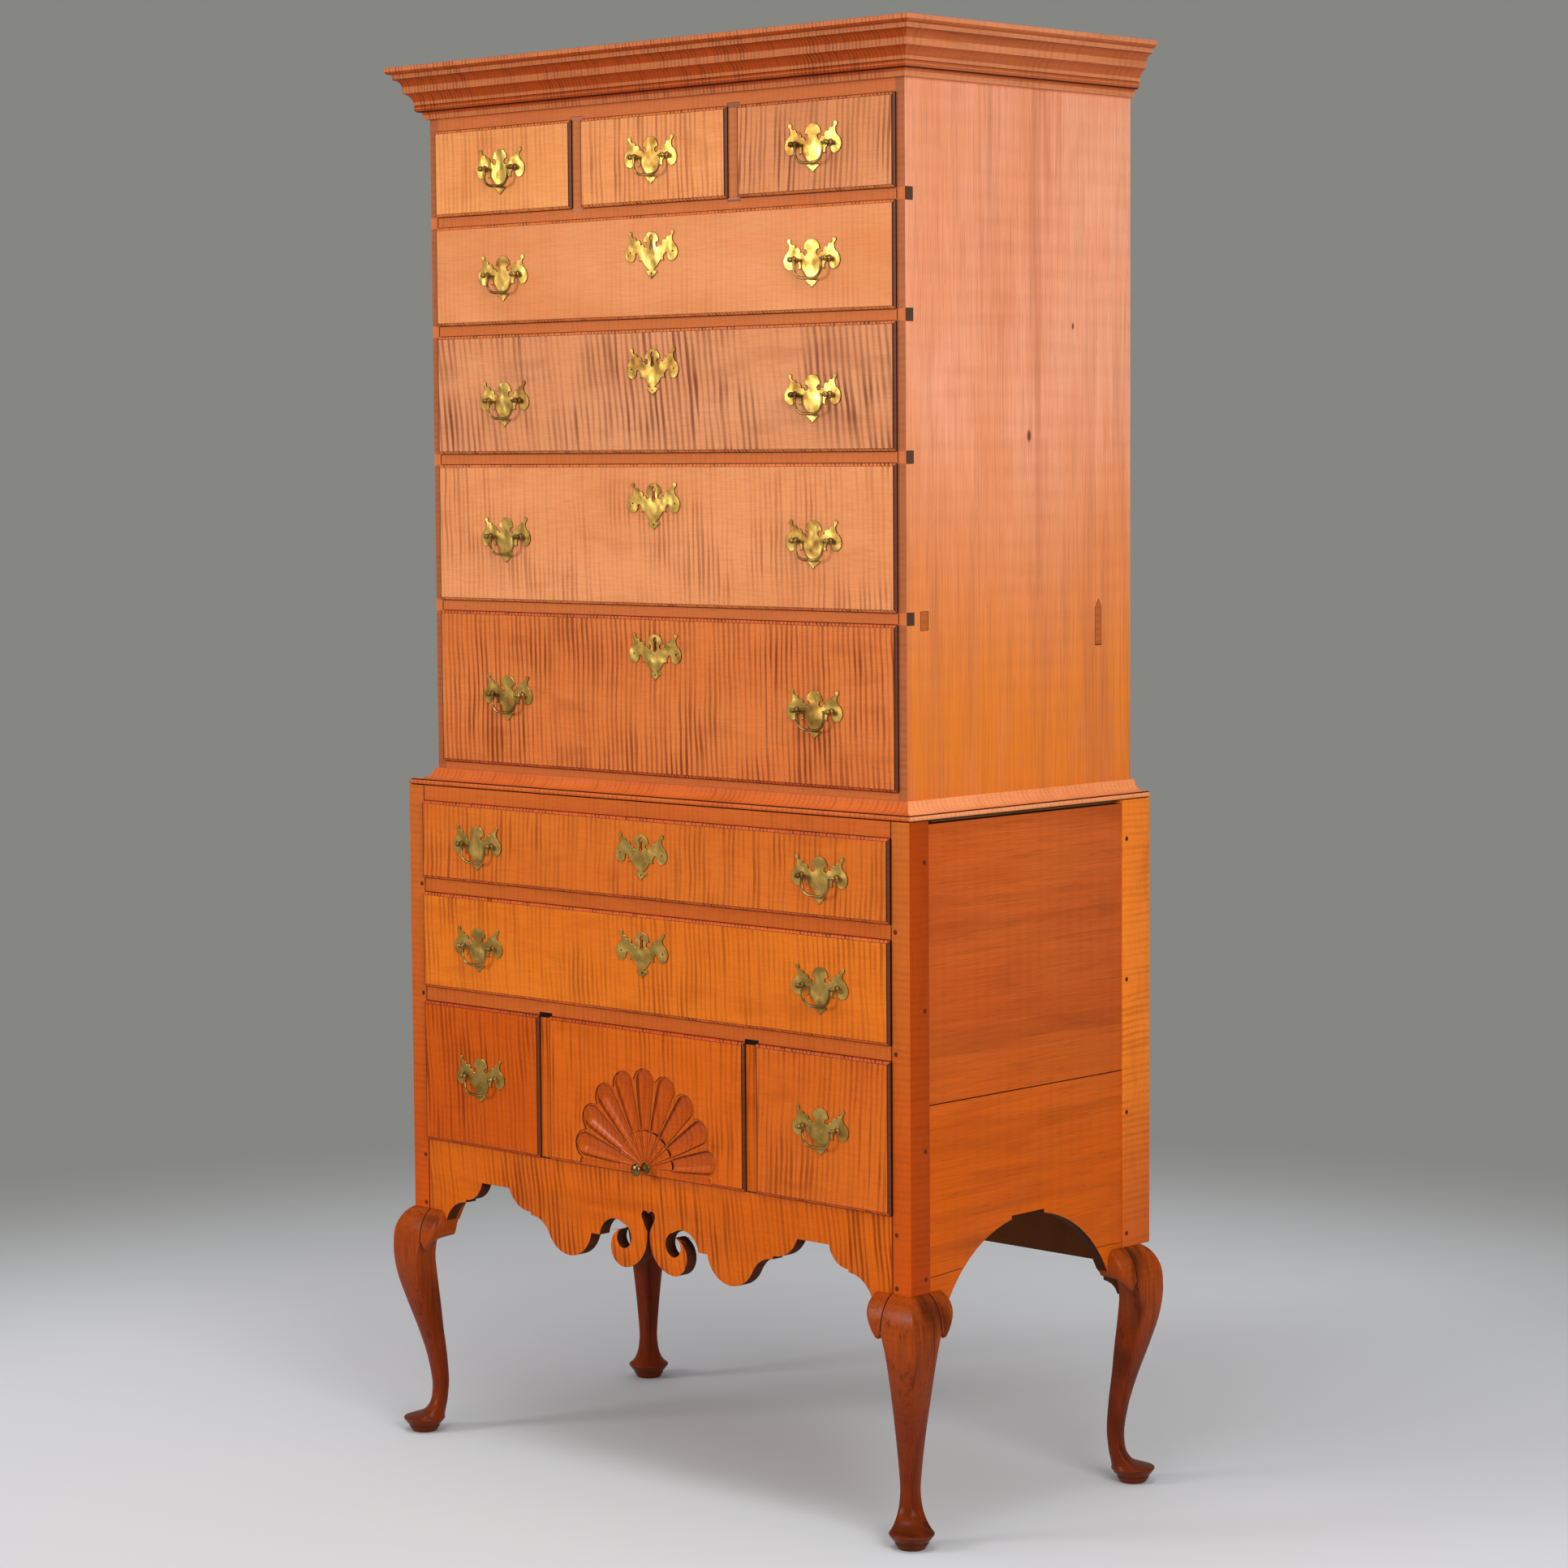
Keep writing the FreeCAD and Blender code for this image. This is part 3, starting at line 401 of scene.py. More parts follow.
def curlOf(tree, look, figure, share, along, across, deep):
    # thin dark lines across the grain, which sway, lean, break up and fade
    moved = maths(tree, "ADD", *(spread(tree, figure(kind), look[kind]) for kind in ("sway", "twist")))
    leaned = maths(tree, "MULTIPLY", across, look["lean"])
    leaned = maths(tree, "ADD", maths(tree, "ADD", along, moved), leaned)
    swayed = addNode(tree, "CombineXYZ", {0: leaned, 1: across, 2: deep}).outputs[0]
    wave = maths(tree, "SINE", maths(tree, "MULTIPLY", leaned, math.tau / look["pitch"]))
    line = maths(tree, "ADD", maths(tree, "MULTIPLY", wave, look["wave"]),
                 spread(tree, figure("loose", swayed), look["loose"]))
    line = band(tree, line, look["from"], look["to"])
    strength = maths(tree, "MULTIPLY", share("patches", look["least"], 1.0), share("fade", 0.6, 1.0, swayed))
    return maths(tree, "MULTIPLY", maths(tree, "MULTIPLY", line, strength), look["curl"], True)


def woodFinish(name, look):
    # fibres along the grain, curl across it, cloudy patches and a satin varnish
    look = {**plainMaple, **look}
    finish, tree, shader, where = startFinish(name)
    spots = addNode(tree, "SeparateXYZ", {0: where}).outputs
    along, across, deep = (spots[k] for k in grainAxes[look["grain"]])
    board = addNode(tree, "CombineXYZ", {0: along, 1: across, 2: deep}).outputs[0]
    figures = figuresOf(look)

    def figure(kind, ground=board):
        scale, shift, detail, rough, _ = figures[kind]
        moved = (look["seed"] * shift[0], look["seed"] * shift[1], shift[2])
        return noise(tree, stretched(tree, ground, scale, moved), detail, rough)

    def share(kind, least, most, ground=board):
        low, high = figures[kind][-1]
        return band(tree, figure(kind, ground), low, high, least, most)

    fibres = figure("fibres")
    curl = curlOf(tree, look, figure, share, along, across, deep)
    light, dark = linear(look["light"]), linear(look["dark"])
    warm = linear(toned(look["light"], (0.95, 0.86, 0.74)))
    colour = blend(tree, share("cloud", 0.0, look["cloud"]), light, warm)
    # a deeper colour towards the floor: the wood's own, with painted shade where the light falls off
    if "low" in look:      # another colour towards the floor
        z0, z1 = look["span"]
        colour = blend(tree, band(tree, spots[2], z0, z1, 1.0, 0.0), colour, linear(look["low"]))
    dull = linear(toned(look["dark"], (1.2, 1.2, 1.25)))
    colour = blend(tree, share("dull", 0.0, look["dull"]), colour, dull)
    if look["streak"]:     # long darker streaks along the grain
        streaks = [share(kind, 0.0, look["streak"]) for kind in ("streak", "hairStreak")]
        colour = blend(tree, maths(tree, "ADD", *streaks, True), colour, dark)
    colour = blend(tree, curl, colour, dark)
    colour = blend(tree, share("flecks", 0.0, look["flecks"]), colour, dark)
    shade = band(tree, fibres, 0.25, 0.75, *look["fibre"])
    grey = addNode(tree, "CombineColor", {0: shade, 1: shade, 2: shade}).outputs[0]
    colour = woodMarks(tree, where, blend(tree, 1.0, colour, grey, "MULTIPLY"), look)
    tree.links.new(colour, shader.inputs["Base Color"])
    rough = band(tree, fibres, 0.2, 0.8, look["rough"] - 0.05, look["rough"] + 0.08)
    tree.links.new(rough, shader.inputs["Roughness"])
    bump = addNode(tree, "Bump", {"Strength": look["relief"], "Distance": 0.6 * mm,
                                  "Height": maths(tree, "ADD", fibres, curl)})
    tree.links.new(bump.outputs[0], shader.inputs["Normal"])
    shader.inputs["Specular IOR Level"].default_value = look["shine"]
    return finish


def metalFinish(name, look):
    # cloudy tarnish that also serves as painted reflections, specks of grime and a face that isn't quite flat
    finish, tree, shader, where = startFinish(name)
    cloud = noise(tree, stretched(tree, where, (28, 28, 34)), 4.0, 0.6)
    grime = noise(tree, stretched(tree, where, (210, 210, 160)), 3.0, 0.6)
    swell = noise(tree, stretched(tree, where, (52, 52, 46)), 1.0)
    colour = blend(tree, band(tree, cloud, 0.35, 0.68), linear(look["bright"]), linear(look["dull"]))
    colour = blend(tree, band(tree, grime, 0.58, 0.78, 0.0, 0.5), colour, linear(look["dark"]))
    tree.links.new(colour, shader.inputs["Base Color"])
    rough = band(tree, cloud, 0.3, 0.7, look["rough"], look["rough"] + 0.16)
    tree.links.new(rough, shader.inputs["Roughness"])
    bump = addNode(tree, "Bump", {"Strength": 0.5, "Distance": 4 * mm,
                                  "Height": maths(tree, "ADD", swell, maths(tree, "MULTIPLY", grime, 0.03))})
    tree.links.new(bump.outputs[0], shader.inputs["Normal"])
    shader.inputs["Metallic"].default_value = look.get("metal", 1.0)
    return finish


# The case: the heights of the drawers' edges, and what alike woods share
upperEdges = [912.5, 1113.5, 1128.0, 1306.5, 1321.0, 1475.5, 1490.0, 1618.5, 1633.0, 1745.0]
lowerEdges = [404.0, 591.0, 610.5, 737.5, 757.0, 860.0]
corniceGrain = {"curl": 0.7, "seed": 5.1, "pitch": 0.0062, "long": 5, "sway": 0.003}
returnGrain = {"grain": "y", "curl": 0.3, "seed": 2.2, "pitch": 0.012, "streak": 0.3}
pine = {"curl": 0.06, "pitch": 0.05, "rough": 0.68, "cloud": 0.8, "strand": 5, "flecks": 0.3}
caseLooks = {
    # the upper case's side is painted paler than its front: painted light on the side the light falls on
    "upperSide": {"grain": "z", "light": (252, 172, 134), "dark": (190, 108, 70), "curl": 0.12, "pitch": 0.03,
                  "long": 4, "low": (234, 128, 40), "span": (0.95, 1.45), "seed": 4.2, "cloud": 0.7,
                  "streak": 0.42, "strand": 7, "fibre": (0.86, 1.08), "flecks": 0.3,
                  "knots": [(256, 1338.7, 2.4), (341, 1474, 1.5)]},
    "railMaple": {"light": (216, 118, 58), "dark": (166, 84, 40), "curl": 0.25, "seed": 1.4,
                  "lips": (upperEdges, 407.5)},
    "lowerRail": {"light": (208, 102, 34), "dark": (146, 62, 16), "curl": 0.3, "seed": 6.4,
                  "lips": (lowerEdges, 419.0)},
    "uprightMaple": {"grain": "z", "light": (212, 122, 66), "dark": (160, 80, 40), "curl": 0.3, "seed": 2.9,
                     "low": (192, 92, 34), "span": (0.7, 1.2), "housed": (139.0, 11.0, (1624.5, 1749.5)),
                     "ends": [(1, 1624.0, 1631.0, (116, 92, 84)), (-1, 1624.0, 1631.0, (182, 120, 92)),
                              (1, 1743.0, 1750.0, (150, 94, 66)), (-1, 1743.0, 1750.0, (190, 112, 76))]},
    "stileMaple": {"grain": "z", "light": (182, 102, 58), "dark": (124, 62, 32), "curl": 0.3, "seed": 2.1},
    # the lower uprights' end is painted near black: painted shadow in the gap at their top
    "lowerUpright": {"light": (218, 100, 10), "dark": (134, 50, 0), "curl": 0.75, "seed": 8.6,
                     "housed": (180.0, 14.0, (587.0, 600.0)), "ends": [(0, 589.0, 596.0, (20, 8, 4))]},
    "postFront": {"grain": "z", "light": (206, 106, 36), "dark": (140, 58, 14), "curl": 0.25, "seed": 2.7,
                  "low": (202, 80, 0), "span": (0.35, 0.8), "lips": (lowerEdges, 419.0)},
    # the side of a front post is painted darker than its front: painted shade
    "postSide": {"grain": "z", "light": (176, 66, 0), "dark": (112, 36, 0), "curl": 0.25, "seed": 3.7},
    "postPale": {"grain": "z", "light": (244, 134, 40), "dark": (150, 66, 18), "curl": 0.35, "seed": 5.7,
                 "low": (200, 92, 30), "span": (0.3, 0.6)},
    "legMaple": {"grain": "z", "light": (164, 68, 8), "dark": (60, 20, 0), "curl": 0.1, "seed": 7.7,
                 "low": (124, 42, 0), "span": (0.14, 0.27), "rough": 0.3, "shine": 0.12, "dull": 0.8,
                 "streak": 0.55, "strand": 14, "fibre": (0.8, 1.1)},
    # the foot's darker colour: under its rim it is painted shade
    "footMaple": {"grain": "z", "light": (104, 40, 10), "dark": (48, 18, 4), "curl": 0.1, "seed": 6.7,
                  "rough": 0.32, "shine": 0.14, "dull": 0.7, "fibre": (0.8, 1.1)},
    "lowerSide": {"grain": "y", "light": (206, 98, 36), "dark": (132, 54, 12), "curl": 0.1, "pitch": 0.02,
                  "long": 5, "streak": 0.3, "strand": 9, "fibre": (0.88, 1.07), "flecks": 0.3,
                  "low": (210, 92, 4), "span": (0.4, 0.7), "seed": 3.3, "cloud": 0.9,
                  "cracks": [(536.5, 0, 440, 1.0), (328, 36, 92, 0.7), (316, 330, 404, 0.6)]},
    "apronMaple": {"light": (218, 102, 4), "dark": (132, 50, 0), "curl": 0.85, "seed": 9.2, "lean": 0.1,
                   "lips": ([404.0], 419.0)},
    # the moulding's returns at the sides are painted paler, painted light on the lit side; the cornice's
    # coves, which face down, are painted darker, painted shade
    "corniceFront": {**corniceGrain, "light": (206, 118, 64), "dark": (118, 56, 24), "rough": 0.4},
    "corniceSide": {**returnGrain, "light": (222, 140, 94), "dark": (150, 82, 44), "rough": 0.4},
    "coveFront": {**corniceGrain, "light": (182, 76, 20), "dark": (98, 34, 6), "rough": 0.38, "dull": 0.0},
    "coveSide": {**returnGrain, "light": (196, 104, 58), "dark": (124, 58, 26), "rough": 0.38, "dull": 0.0},
    "waistFront": {"light": (214, 108, 46), "dark": (150, 62, 20), "curl": 0.5, "seed": 3.1},
    "waistSide": {"grain": "y", "light": (248, 160, 104), "dark": (180, 96, 48), "curl": 0.4, "seed": 6.1},
    # sawn edges: dark unfinished wood, with painted shade
    "sawnEdge": {"light": (74, 34, 16), "dark": (34, 16, 8), "curl": 0.5, "seed": 1.1, "rough": 0.7},
    "endGrain": {"light": (92, 66, 54), "dark": (54, 38, 30), "curl": 0.5, "pitch": 0.004, "seed": 1.9,
                 "rough": 0.6},
    "darkPeg": {"light": (96, 46, 20), "dark": (52, 24, 10), "curl": 0.4, "seed": 1.9},
    "shellRib": {"light": (200, 88, 14), "dark": (110, 40, 2), "curl": 0.5, "seed": 8.6, "rough": 0.34,
                 "dull": 0.0},
    # the walls of the flutes are painted darker: painted shade in the hollows
    "shellWall": {"light": (142, 58, 8), "dark": (80, 28, 4), "curl": 0.5, "seed": 3.6, "rough": 0.3},
    "shellFlute": {"light": (200, 86, 10), "dark": (118, 42, 0), "curl": 0.4, "seed": 3.6, "rough": 0.26,
                   "shine": 0.16, "dull": 0.0},
    "edgeShade": {"light": (48, 20, 10), "dark": (20, 8, 5), "seed": 3.4, "rough": 0.5},
    "lipEnd": {"grain": "z", "light": (104, 52, 26), "dark": (60, 26, 12), "curl": 0.4, "seed": 4.4,
               "shine": 0.3, "rough": 0.4},
    "patchMaple": {"grain": "z", "light": (196, 104, 52), "dark": (120, 56, 26), "curl": 0.3, "seed": 6.6},
    # the inside of the lower back is painted dark: painted shade inside the case
    "backBoard": {"light": (104, 62, 34), "dark": (62, 34, 18), "curl": 0.2, "pitch": 0.05, "seed": 4.9,
                  "rough": 0.68, "shine": 0.05, "cloud": 0.8},
    "pineBoard": {**pine, "light": (192, 142, 88), "dark": (138, 88, 46), "seed": 3.9, "streak": 0.5,
                  "fibre": (0.84, 1.08)},
    "pineSide": {**pine, "grain": "y", "light": (204, 158, 104), "dark": (150, 100, 56), "seed": 8.9,
                 "streak": 0.45, "fibre": (0.86, 1.07)},
}
metalLooks = {
    "plateBright": {"bright": (232, 190, 96), "dull": (150, 106, 48), "dark": (84, 56, 26), "rough": 0.26},
    "plateOlive": {"bright": (230, 186, 98), "dull": (158, 122, 56), "dark": (96, 70, 30), "rough": 0.3},
    # the plates' edges: dark grime, with painted shade
    "plateEdge": {"bright": (84, 60, 30), "dull": (56, 38, 18), "dark": (36, 24, 12), "rough": 0.4,
                  "metal": 0.7},
    "bailBronze": {"bright": (176, 142, 80), "dull": (104, 80, 42), "dark": (46, 34, 18), "rough": 0.3},
    "knobBronze": {"bright": (132, 104, 60), "dull": (76, 58, 32), "dark": (36, 26, 14), "rough": 0.26},
    "pinDark": {"bright": (70, 52, 30), "dull": (40, 30, 18), "dark": (20, 14, 8), "rough": 0.5},
    "lockIron": {"bright": (96, 92, 88), "dull": (66, 60, 54), "dark": (70, 40, 22), "rough": 0.5},
}
finish = {name: woodFinish(name, look) for name, look in caseLooks.items()}
finish.update({name: metalFinish(name, look) for name, look in metalLooks.items()})
print("finishes made:", len(finish))


def picked(names):
    return [finish[name] for name in names.split()]


# Drawer fronts: each board has its own colour and curl. Their colours grow paler towards the top, partly the
# boards' own colour and partly painted light.
frontLooks = {
    "top_left": {"light": (246, 162, 94), "dark": (186, 100, 48), "curl": 0.55, "seed": 1.3, "lean": 0.03},
    "top_middle": {"light": (244, 158, 94), "dark": (164, 84, 40), "curl": 0.8, "seed": 7.9, "lean": 0.03},
    "top_right": {"light": (228, 148, 94), "dark": (138, 70, 38), "curl": 0.9, "seed": 4.4, "lean": -0.05},
    "upper_first": {"light": (236, 154, 98), "dark": (198, 112, 60), "curl": 0.35, "seed": 12.2,
                    "cloud": 0.8},
    "upper_second": {"light": (230, 152, 102), "dark": (126, 64, 38), "curl": 0.95, "seed": 3.6, "lean": 0.12,
                     "pitch": 0.0105, "least": 0.3, "from": -0.5, "to": 1.0},
    "upper_third": {"light": (238, 154, 98), "dark": (166, 90, 46), "curl": 0.75, "seed": 9.1, "lean": 0.03,
                    "least": 0.35},
    "upper_fourth": {"light": (226, 124, 58), "dark": (128, 54, 16), "curl": 0.95, "seed": 5.7, "lean": 0.02,
                     "pitch": 0.0088, "wave": 0.85, "least": 0.55, "from": -0.4},
    "lower_first": {"light": (222, 114, 32), "dark": (142, 58, 10), "curl": 0.75, "seed": 10.3,
                    "lean": -0.03},
    "lower_second": {"light": (230, 120, 24), "dark": (150, 64, 6), "curl": 0.7, "seed": 6.9, "lean": 0.04},
    "bottom_left": {"light": (206, 88, 0), "dark": (126, 42, 0), "curl": 0.8, "seed": 2.9, "lean": 0.05},
    "shell": {"light": (220, 102, 10), "dark": (136, 52, 0), "curl": 0.75, "seed": 8.6},
    "bottom_right": {"light": (218, 106, 24), "dark": (132, 50, 4), "curl": 0.8, "seed": 11.7, "lean": -0.04},
}
lowerDrawers = ("lower_first", "lower_second", "bottom_left", "shell", "bottom_right")


def lipLook(look):
    # the thumb moulding is deeper in colour, and the curl crosses it like the lay of a rope
    light, dark = toned(look["light"], (0.96, 0.8, 0.56)), toned(look["dark"], (0.66, 0.54, 0.4))
    return dict(look, light=light, dark=dark, curl=0.95, pitch=0.0062, long=3, lean=0.7, least=0.8,
                shine=0.25, sway=0.002, twist=0.001)


def faceCentre(polygon):
    c = polygon.center
    return c.x / mm, c.y / mm + middleDepth, c.z / mm


def sortFaces(mesh, choose):
    # choose gives each face the number of its finish
    for polygon in mesh.polygons:
        polygon.material_index = choose(polygon)


def dressNode(name, finishes, choose=None):
    # the solid keeps its shape: its faces only choose between finishes
    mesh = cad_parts[name].data
    mesh.materials.clear()
    for each in finishes:
        mesh.materials.append(each)
    if choose:
        sortFaces(mesh, choose)


def drawerFace(name):
    return 0.0 if name in lowerDrawers else upperFace


drawerFront = {"lipIn": 3.0, "thick": 16.0, "tailsFrom": 6.0, "quirkShadeTone": (0.55, 0.55, 0.55)}


def onTail(mesh, polygon, face):
    # whether a triangle on a drawer's side is part of a dovetail, which is wider at its front end
    front, back = [], []
    ends = (drawerFront["tailsFrom"], drawerFront["thick"])
    for index in polygon.vertices:
        corner = mesh.vertices[index].co
        depth = corner.y / mm + middleDepth - face
        if min(abs(depth - end) for end in ends) > 0.1:
            return False
        (front if depth < sum(ends) / 2 else back).append(corner.z)
    if len(front) == 2 and len(back) == 1:
        return min(front) < back[0] < max(front)
    return len(front) == 1 and len(back) == 2 and not min(back) < front[0] < max(back)


def drawerNumber(mesh, polygon, face):
    # 0 field, 1 lip, 2 the lip's square ends, dark end grain, and its underside, painted shade, 3 sides, back
    # and dovetails, 4 bottom, 5 moulding on an end
    y, normal = faceCentre(polygon)[1], polygon.normal
    if abs(normal.x) > 0.9 and onTail(mesh, polygon, face):
        return 3
    if y > face + drawerFront["thick"] + 0.05:
        return 3 if abs(normal.z) < 0.5 else 4
    if y < face and normal.y > -0.98:
        if abs(normal.x) > 0.3:
            return 5 if normal.y < -0.2 else 2
        return 2 if normal.z < -0.9 else 1
    return 0


drawerFinishes = {}
for name, look in frontLooks.items():
    inset = drawerFront["lipIn"]
    low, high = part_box(name + "_drawer")
    field = (low[0] / mm + inset, high[0] / mm - inset, low[2] / mm + inset, high[2] / mm - inset)
    board = dict(look, field=field, seam=toned(look["dark"], drawerFront["quirkShadeTone"]))
    drawerFinishes[name] = [woodFinish(name + "Maple", board), woodFinish(name + "Lip", lipLook(look)),
                            *picked("edgeShade pineSide pineBoard lipEnd")]
    node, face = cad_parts[name + "_drawer"], drawerFace(name)
    dressNode(name + "_drawer", drawerFinishes[name], lambda polygon: drawerNumber(node.data, polygon, face))
print("drawers finished")

lowerUprights = 700.0      # the uprights under this height stand beside the shell drawer
railEnds = 420.3           # past this, either side, the rails' dovetailed ends show
for name in ("upper_top", "upper_bottom", "upper_back"):
    dressNode(name, picked("pineBoard"))
dressNode("drawer_runners", picked("pineSide"))
dressNode("lower_rails", picked("lowerRail"))
dressNode("upper_sides", picked("upperSide stileMaple"),
          lambda each: int(each.normal.y < -0.5 or each.normal.z > 0.5))
# the faces that don't face the back are painted dark, painted shade inside the case
dressNode("lower_back", picked("pineBoard backBoard"), lambda each: int(each.normal.y < 0.5))
dressNode("drawer_partitions", picked("uprightMaple lowerUpright"),
          lambda each: int(each.center.z < lowerUprights * mm))
dressNode("upper_rails", picked("railMaple endGrain"), lambda each: int(abs(each.center.x) > railEnds * mm))
print("case boards finished")


# Cornice and waist moulding: one profile carried round the front and both sides, mitred. A profile is
# its reach from the case, and its height from the top of the cornice or the foot of the waist moulding.
moulding = {
    "caseHalf": 420.5, "caseBack": 455.0, "lowerBack": 460.0, "corniceTop": 1830.0, "waistFoot": 880.2,
    "cornice": [
        (0.0, -68.0), (0.0, 0.0), (42.2, 0.0), (42.5, -0.4), (42.5, -5.6), (42.0, -6.2),
        ((40.2, -8.2), (35.5, -9.0)), (35.2, -15.2), (34.6, -15.6), ((28.4, -19.4), (25.5, -27.0)),
        (25.3, -33.6), (24.6, -34.0), ((18.0, -39.2), (15.5, -49.3)), (13.4, -49.6),
        ((14.8, -54.6), (10.5, -58.5)), (9.6, -58.6), (7.0, -59.3), (6.6, -62.0), (6.0, -68.0)],
    "waist": [
        (0.0, 0.0), (0.0, 22.4), (3.2, 22.4), (3.6, 21.9), (4.0, 19.8), ((9.2, 11.4), (21.5, 8.3)),
        (24.3, 8.0), ((28.5, 4.0), (24.3, 0.3)), (23.0, 0.0)],
    "quirk": 0.8, "upright": 0.12,      # a quirk is no longer than this, and a fillet slopes no more
}


def slopeNumber(profile, face, fillet):
    # the finish of a face by its slope: the fillets' own, the curves' two further on, and 4 for quirks, which
    # are painted shade
    if len(face) != 4 or min(face) + 1 not in face:
        return fillet
    start, end = profile[min(face)], profile[min(face) + 1]
    out, up = abs(end[0] - start[0]), abs(end[1] - start[1])
    if math.dist(start, end) < moulding["quirk"] and out > up:
        return 4
    return fillet + 2 if out > moulding["upright"] * up else fillet


def mitredLengths(profile, backY):
    # finishes: 0 and 1 fillets, in front and at the sides, the sides painted lit; 2 and 3 curves, painted
    # shade on the cornice; 4 quirks, painted shade
    half, parts = moulding["caseHalf"], []
    corners = [((-half, backY), (-1, 0)), ((-half, upperFace), (-1, -1)), ((half, upperFace), (1, -1)),
               ((half, backY), (1, 0))]
    rings = [[place(x + reach * dx, y + reach * dy, z) for reach, z in profile]
             for (x, y), (dx, dy) in corners]
    for index, fillet in enumerate((1, 0, 1)):
        points, faces = loft(rings[index:index + 2])
        numbers = [slopeNumber(profile, face, fillet) for face in faces]
        for number in (fillet, fillet + 2, 4):
            parts.append((points, [face for face, given in zip(faces, numbers) if given == number], number))
    return parts


def makeMoulding(name, replaced, kind, level, backY, finishes):
    profile = [(reach, level + rise) for reach, rise in drawPath(moulding[kind])]
    makePiece(name, "case", mitredLengths(profile, backY), picked(finishes), [replaced], 28)


makeMoulding("cornice_moulding", "cornice", "cornice", moulding["corniceTop"], moulding["caseBack"],
             "corniceFront corniceSide coveFront coveSide edgeShade")
makeMoulding("waist_moulding_mitred", "waist_moulding", "waist", moulding["waistFoot"], moulding["lowerBack"],
             "waistFront waistSide waistFront waistSide edgeShade")
print("mouldings made")


# Cabriole legs. Each row: height, outer arris and inner edge along the diagonal, half the width
# across it, where it is widest, and how round the section is (1 is square, 2 is round).
leg = {
    "postOuter": 448.5, "postInner": 417.0, "postDeep": 35.0, "backPost": (405.0, 460.0), "backCorner": 440.0,
    "kneeTop": 308.7, "caseTop": 880.2, "steps": 5, "around": 48,
    "rows": [
        (308.7, 0.3, -44.0, 22.3, -22.3, 1.02), (303.0, 10.8, -43.0, 26.6, -16.0, 1.03),
        (293.0, 20.4, -40.0, 31.2, -11.0, 1.05), (279.0, 27.5, -34.0, 35.4, -8.0, 1.06),
        (262.0, 29.9, -29.0, 36.3, -6.4, 1.07), (240.0, 29.4, -26.4, 32.0, -2.0, 1.1),
        (212.0, 24.0, -28.6, 27.6, -3.4, 1.16), (176.0, 11.5, -32.6, 23.0, -11.3, 1.24),
        (140.0, -2.0, -36.0, 18.8, -20.6, 1.3), (104.0, -13.2, -40.2, 15.2, -28.2, 1.36),
        (70.0, -19.4, -42.4, 12.6, -31.6, 1.42), (51.6, -19.2, -41.2, 13.5, -30.2, 1.5),
        (40.0, -16.8, -39.8, 15.7, -27.0, 1.6), (31.5, -11.4, -38.0, 18.9, -22.0, 1.72),
        (26.0, -4.4, -37.0, 21.9, -16.0, 1.84), (22.8, 5.6, -36.4, 24.2, -12.0, 1.93),
        (20.6, 14.0, -36.2, 26.2, -9.6, 2.0), (19.4, 18.4, -36.0, 27.2, -8.7, 2.0)],
    "pad": [(27.7, 18.6), (28.0, 17.8), (27.7, 16.8), (26.4, 15.0), (23.8, 11.6), (21.4, 9.0), (20.5, 8.2),
            (20.1, 7.6), (20.7, 7.1), (20.5, 6.3), (18.8, 3.4), (17.2, 0.7), (16.7, 0.0)],
    "padCentre": -8.6, "darkFoot": 16.5, "darkRim": 30.0,
}


def legRing(row):
    z, outer, inner, half, widest, power = row
    ring = []
    for c, s in circle(1, leg["around"]):
        reach = outer - widest if c > 0 else widest - inner
        ring.append((widest + math.copysign(abs(c) ** (2 / power), c) * reach,
                     math.copysign(abs(s) ** (2 / power), s) * half, z))
    return ring


def legNumber(polygon):
    # 0 post, 1 carved leg, 2 side of the post, in painted shade on the front legs, 3 foot: its edge below the
    # rim, in painted shade, and what faces up just above it
    height = polygon.center.z / mm
    if height < leg["darkFoot"] or height < leg["darkRim"] and polygon.normal.z > 0.5:
        return 3
    if polygon.material_index == 0 and abs(polygon.normal.x) > 0.8:
        return 2
    return polygon.material_index


def makeLeg(name, side, corner, turn, post, finishes):
    rings = [legRing(row) for row in smoothBetween(leg["rows"], leg["steps"])]
    rings += [[(leg["padCentre"] + u, v, z) for u, v in circle(r, leg["around"])] for r, z in leg["pad"]]
    diagonal = math.sqrt(0.5)
    below = loft([[place(side * (leg["postOuter"] + (r + s) * diagonal),
                         corner + turn * (r - s) * diagonal, z) for r, s, z in ring] for ring in rings])
    above = softBox(*sorted((side * leg["postInner"], side * leg["postOuter"])), *post,
                    leg["kneeTop"] - 0.2, leg["caseTop"])
    parts = [(*below, 1), (*above, 0)]
    piece = makePiece(name + "_carved", "case", parts, picked(finishes), [name], 40)
    sortFaces(piece.data, legNumber)


for side, word in ((-1, "left"), (1, "right")):
    makeLeg("leg_front_" + word, side, 0.0, -1, (0.0, leg["postDeep"]),
            "postFront legMaple postSide footMaple")
    makeLeg("leg_back_" + word, side, leg["backCorner"], 1, leg["backPost"],
            "postPale legMaple postPale footMaple")
print("legs made")


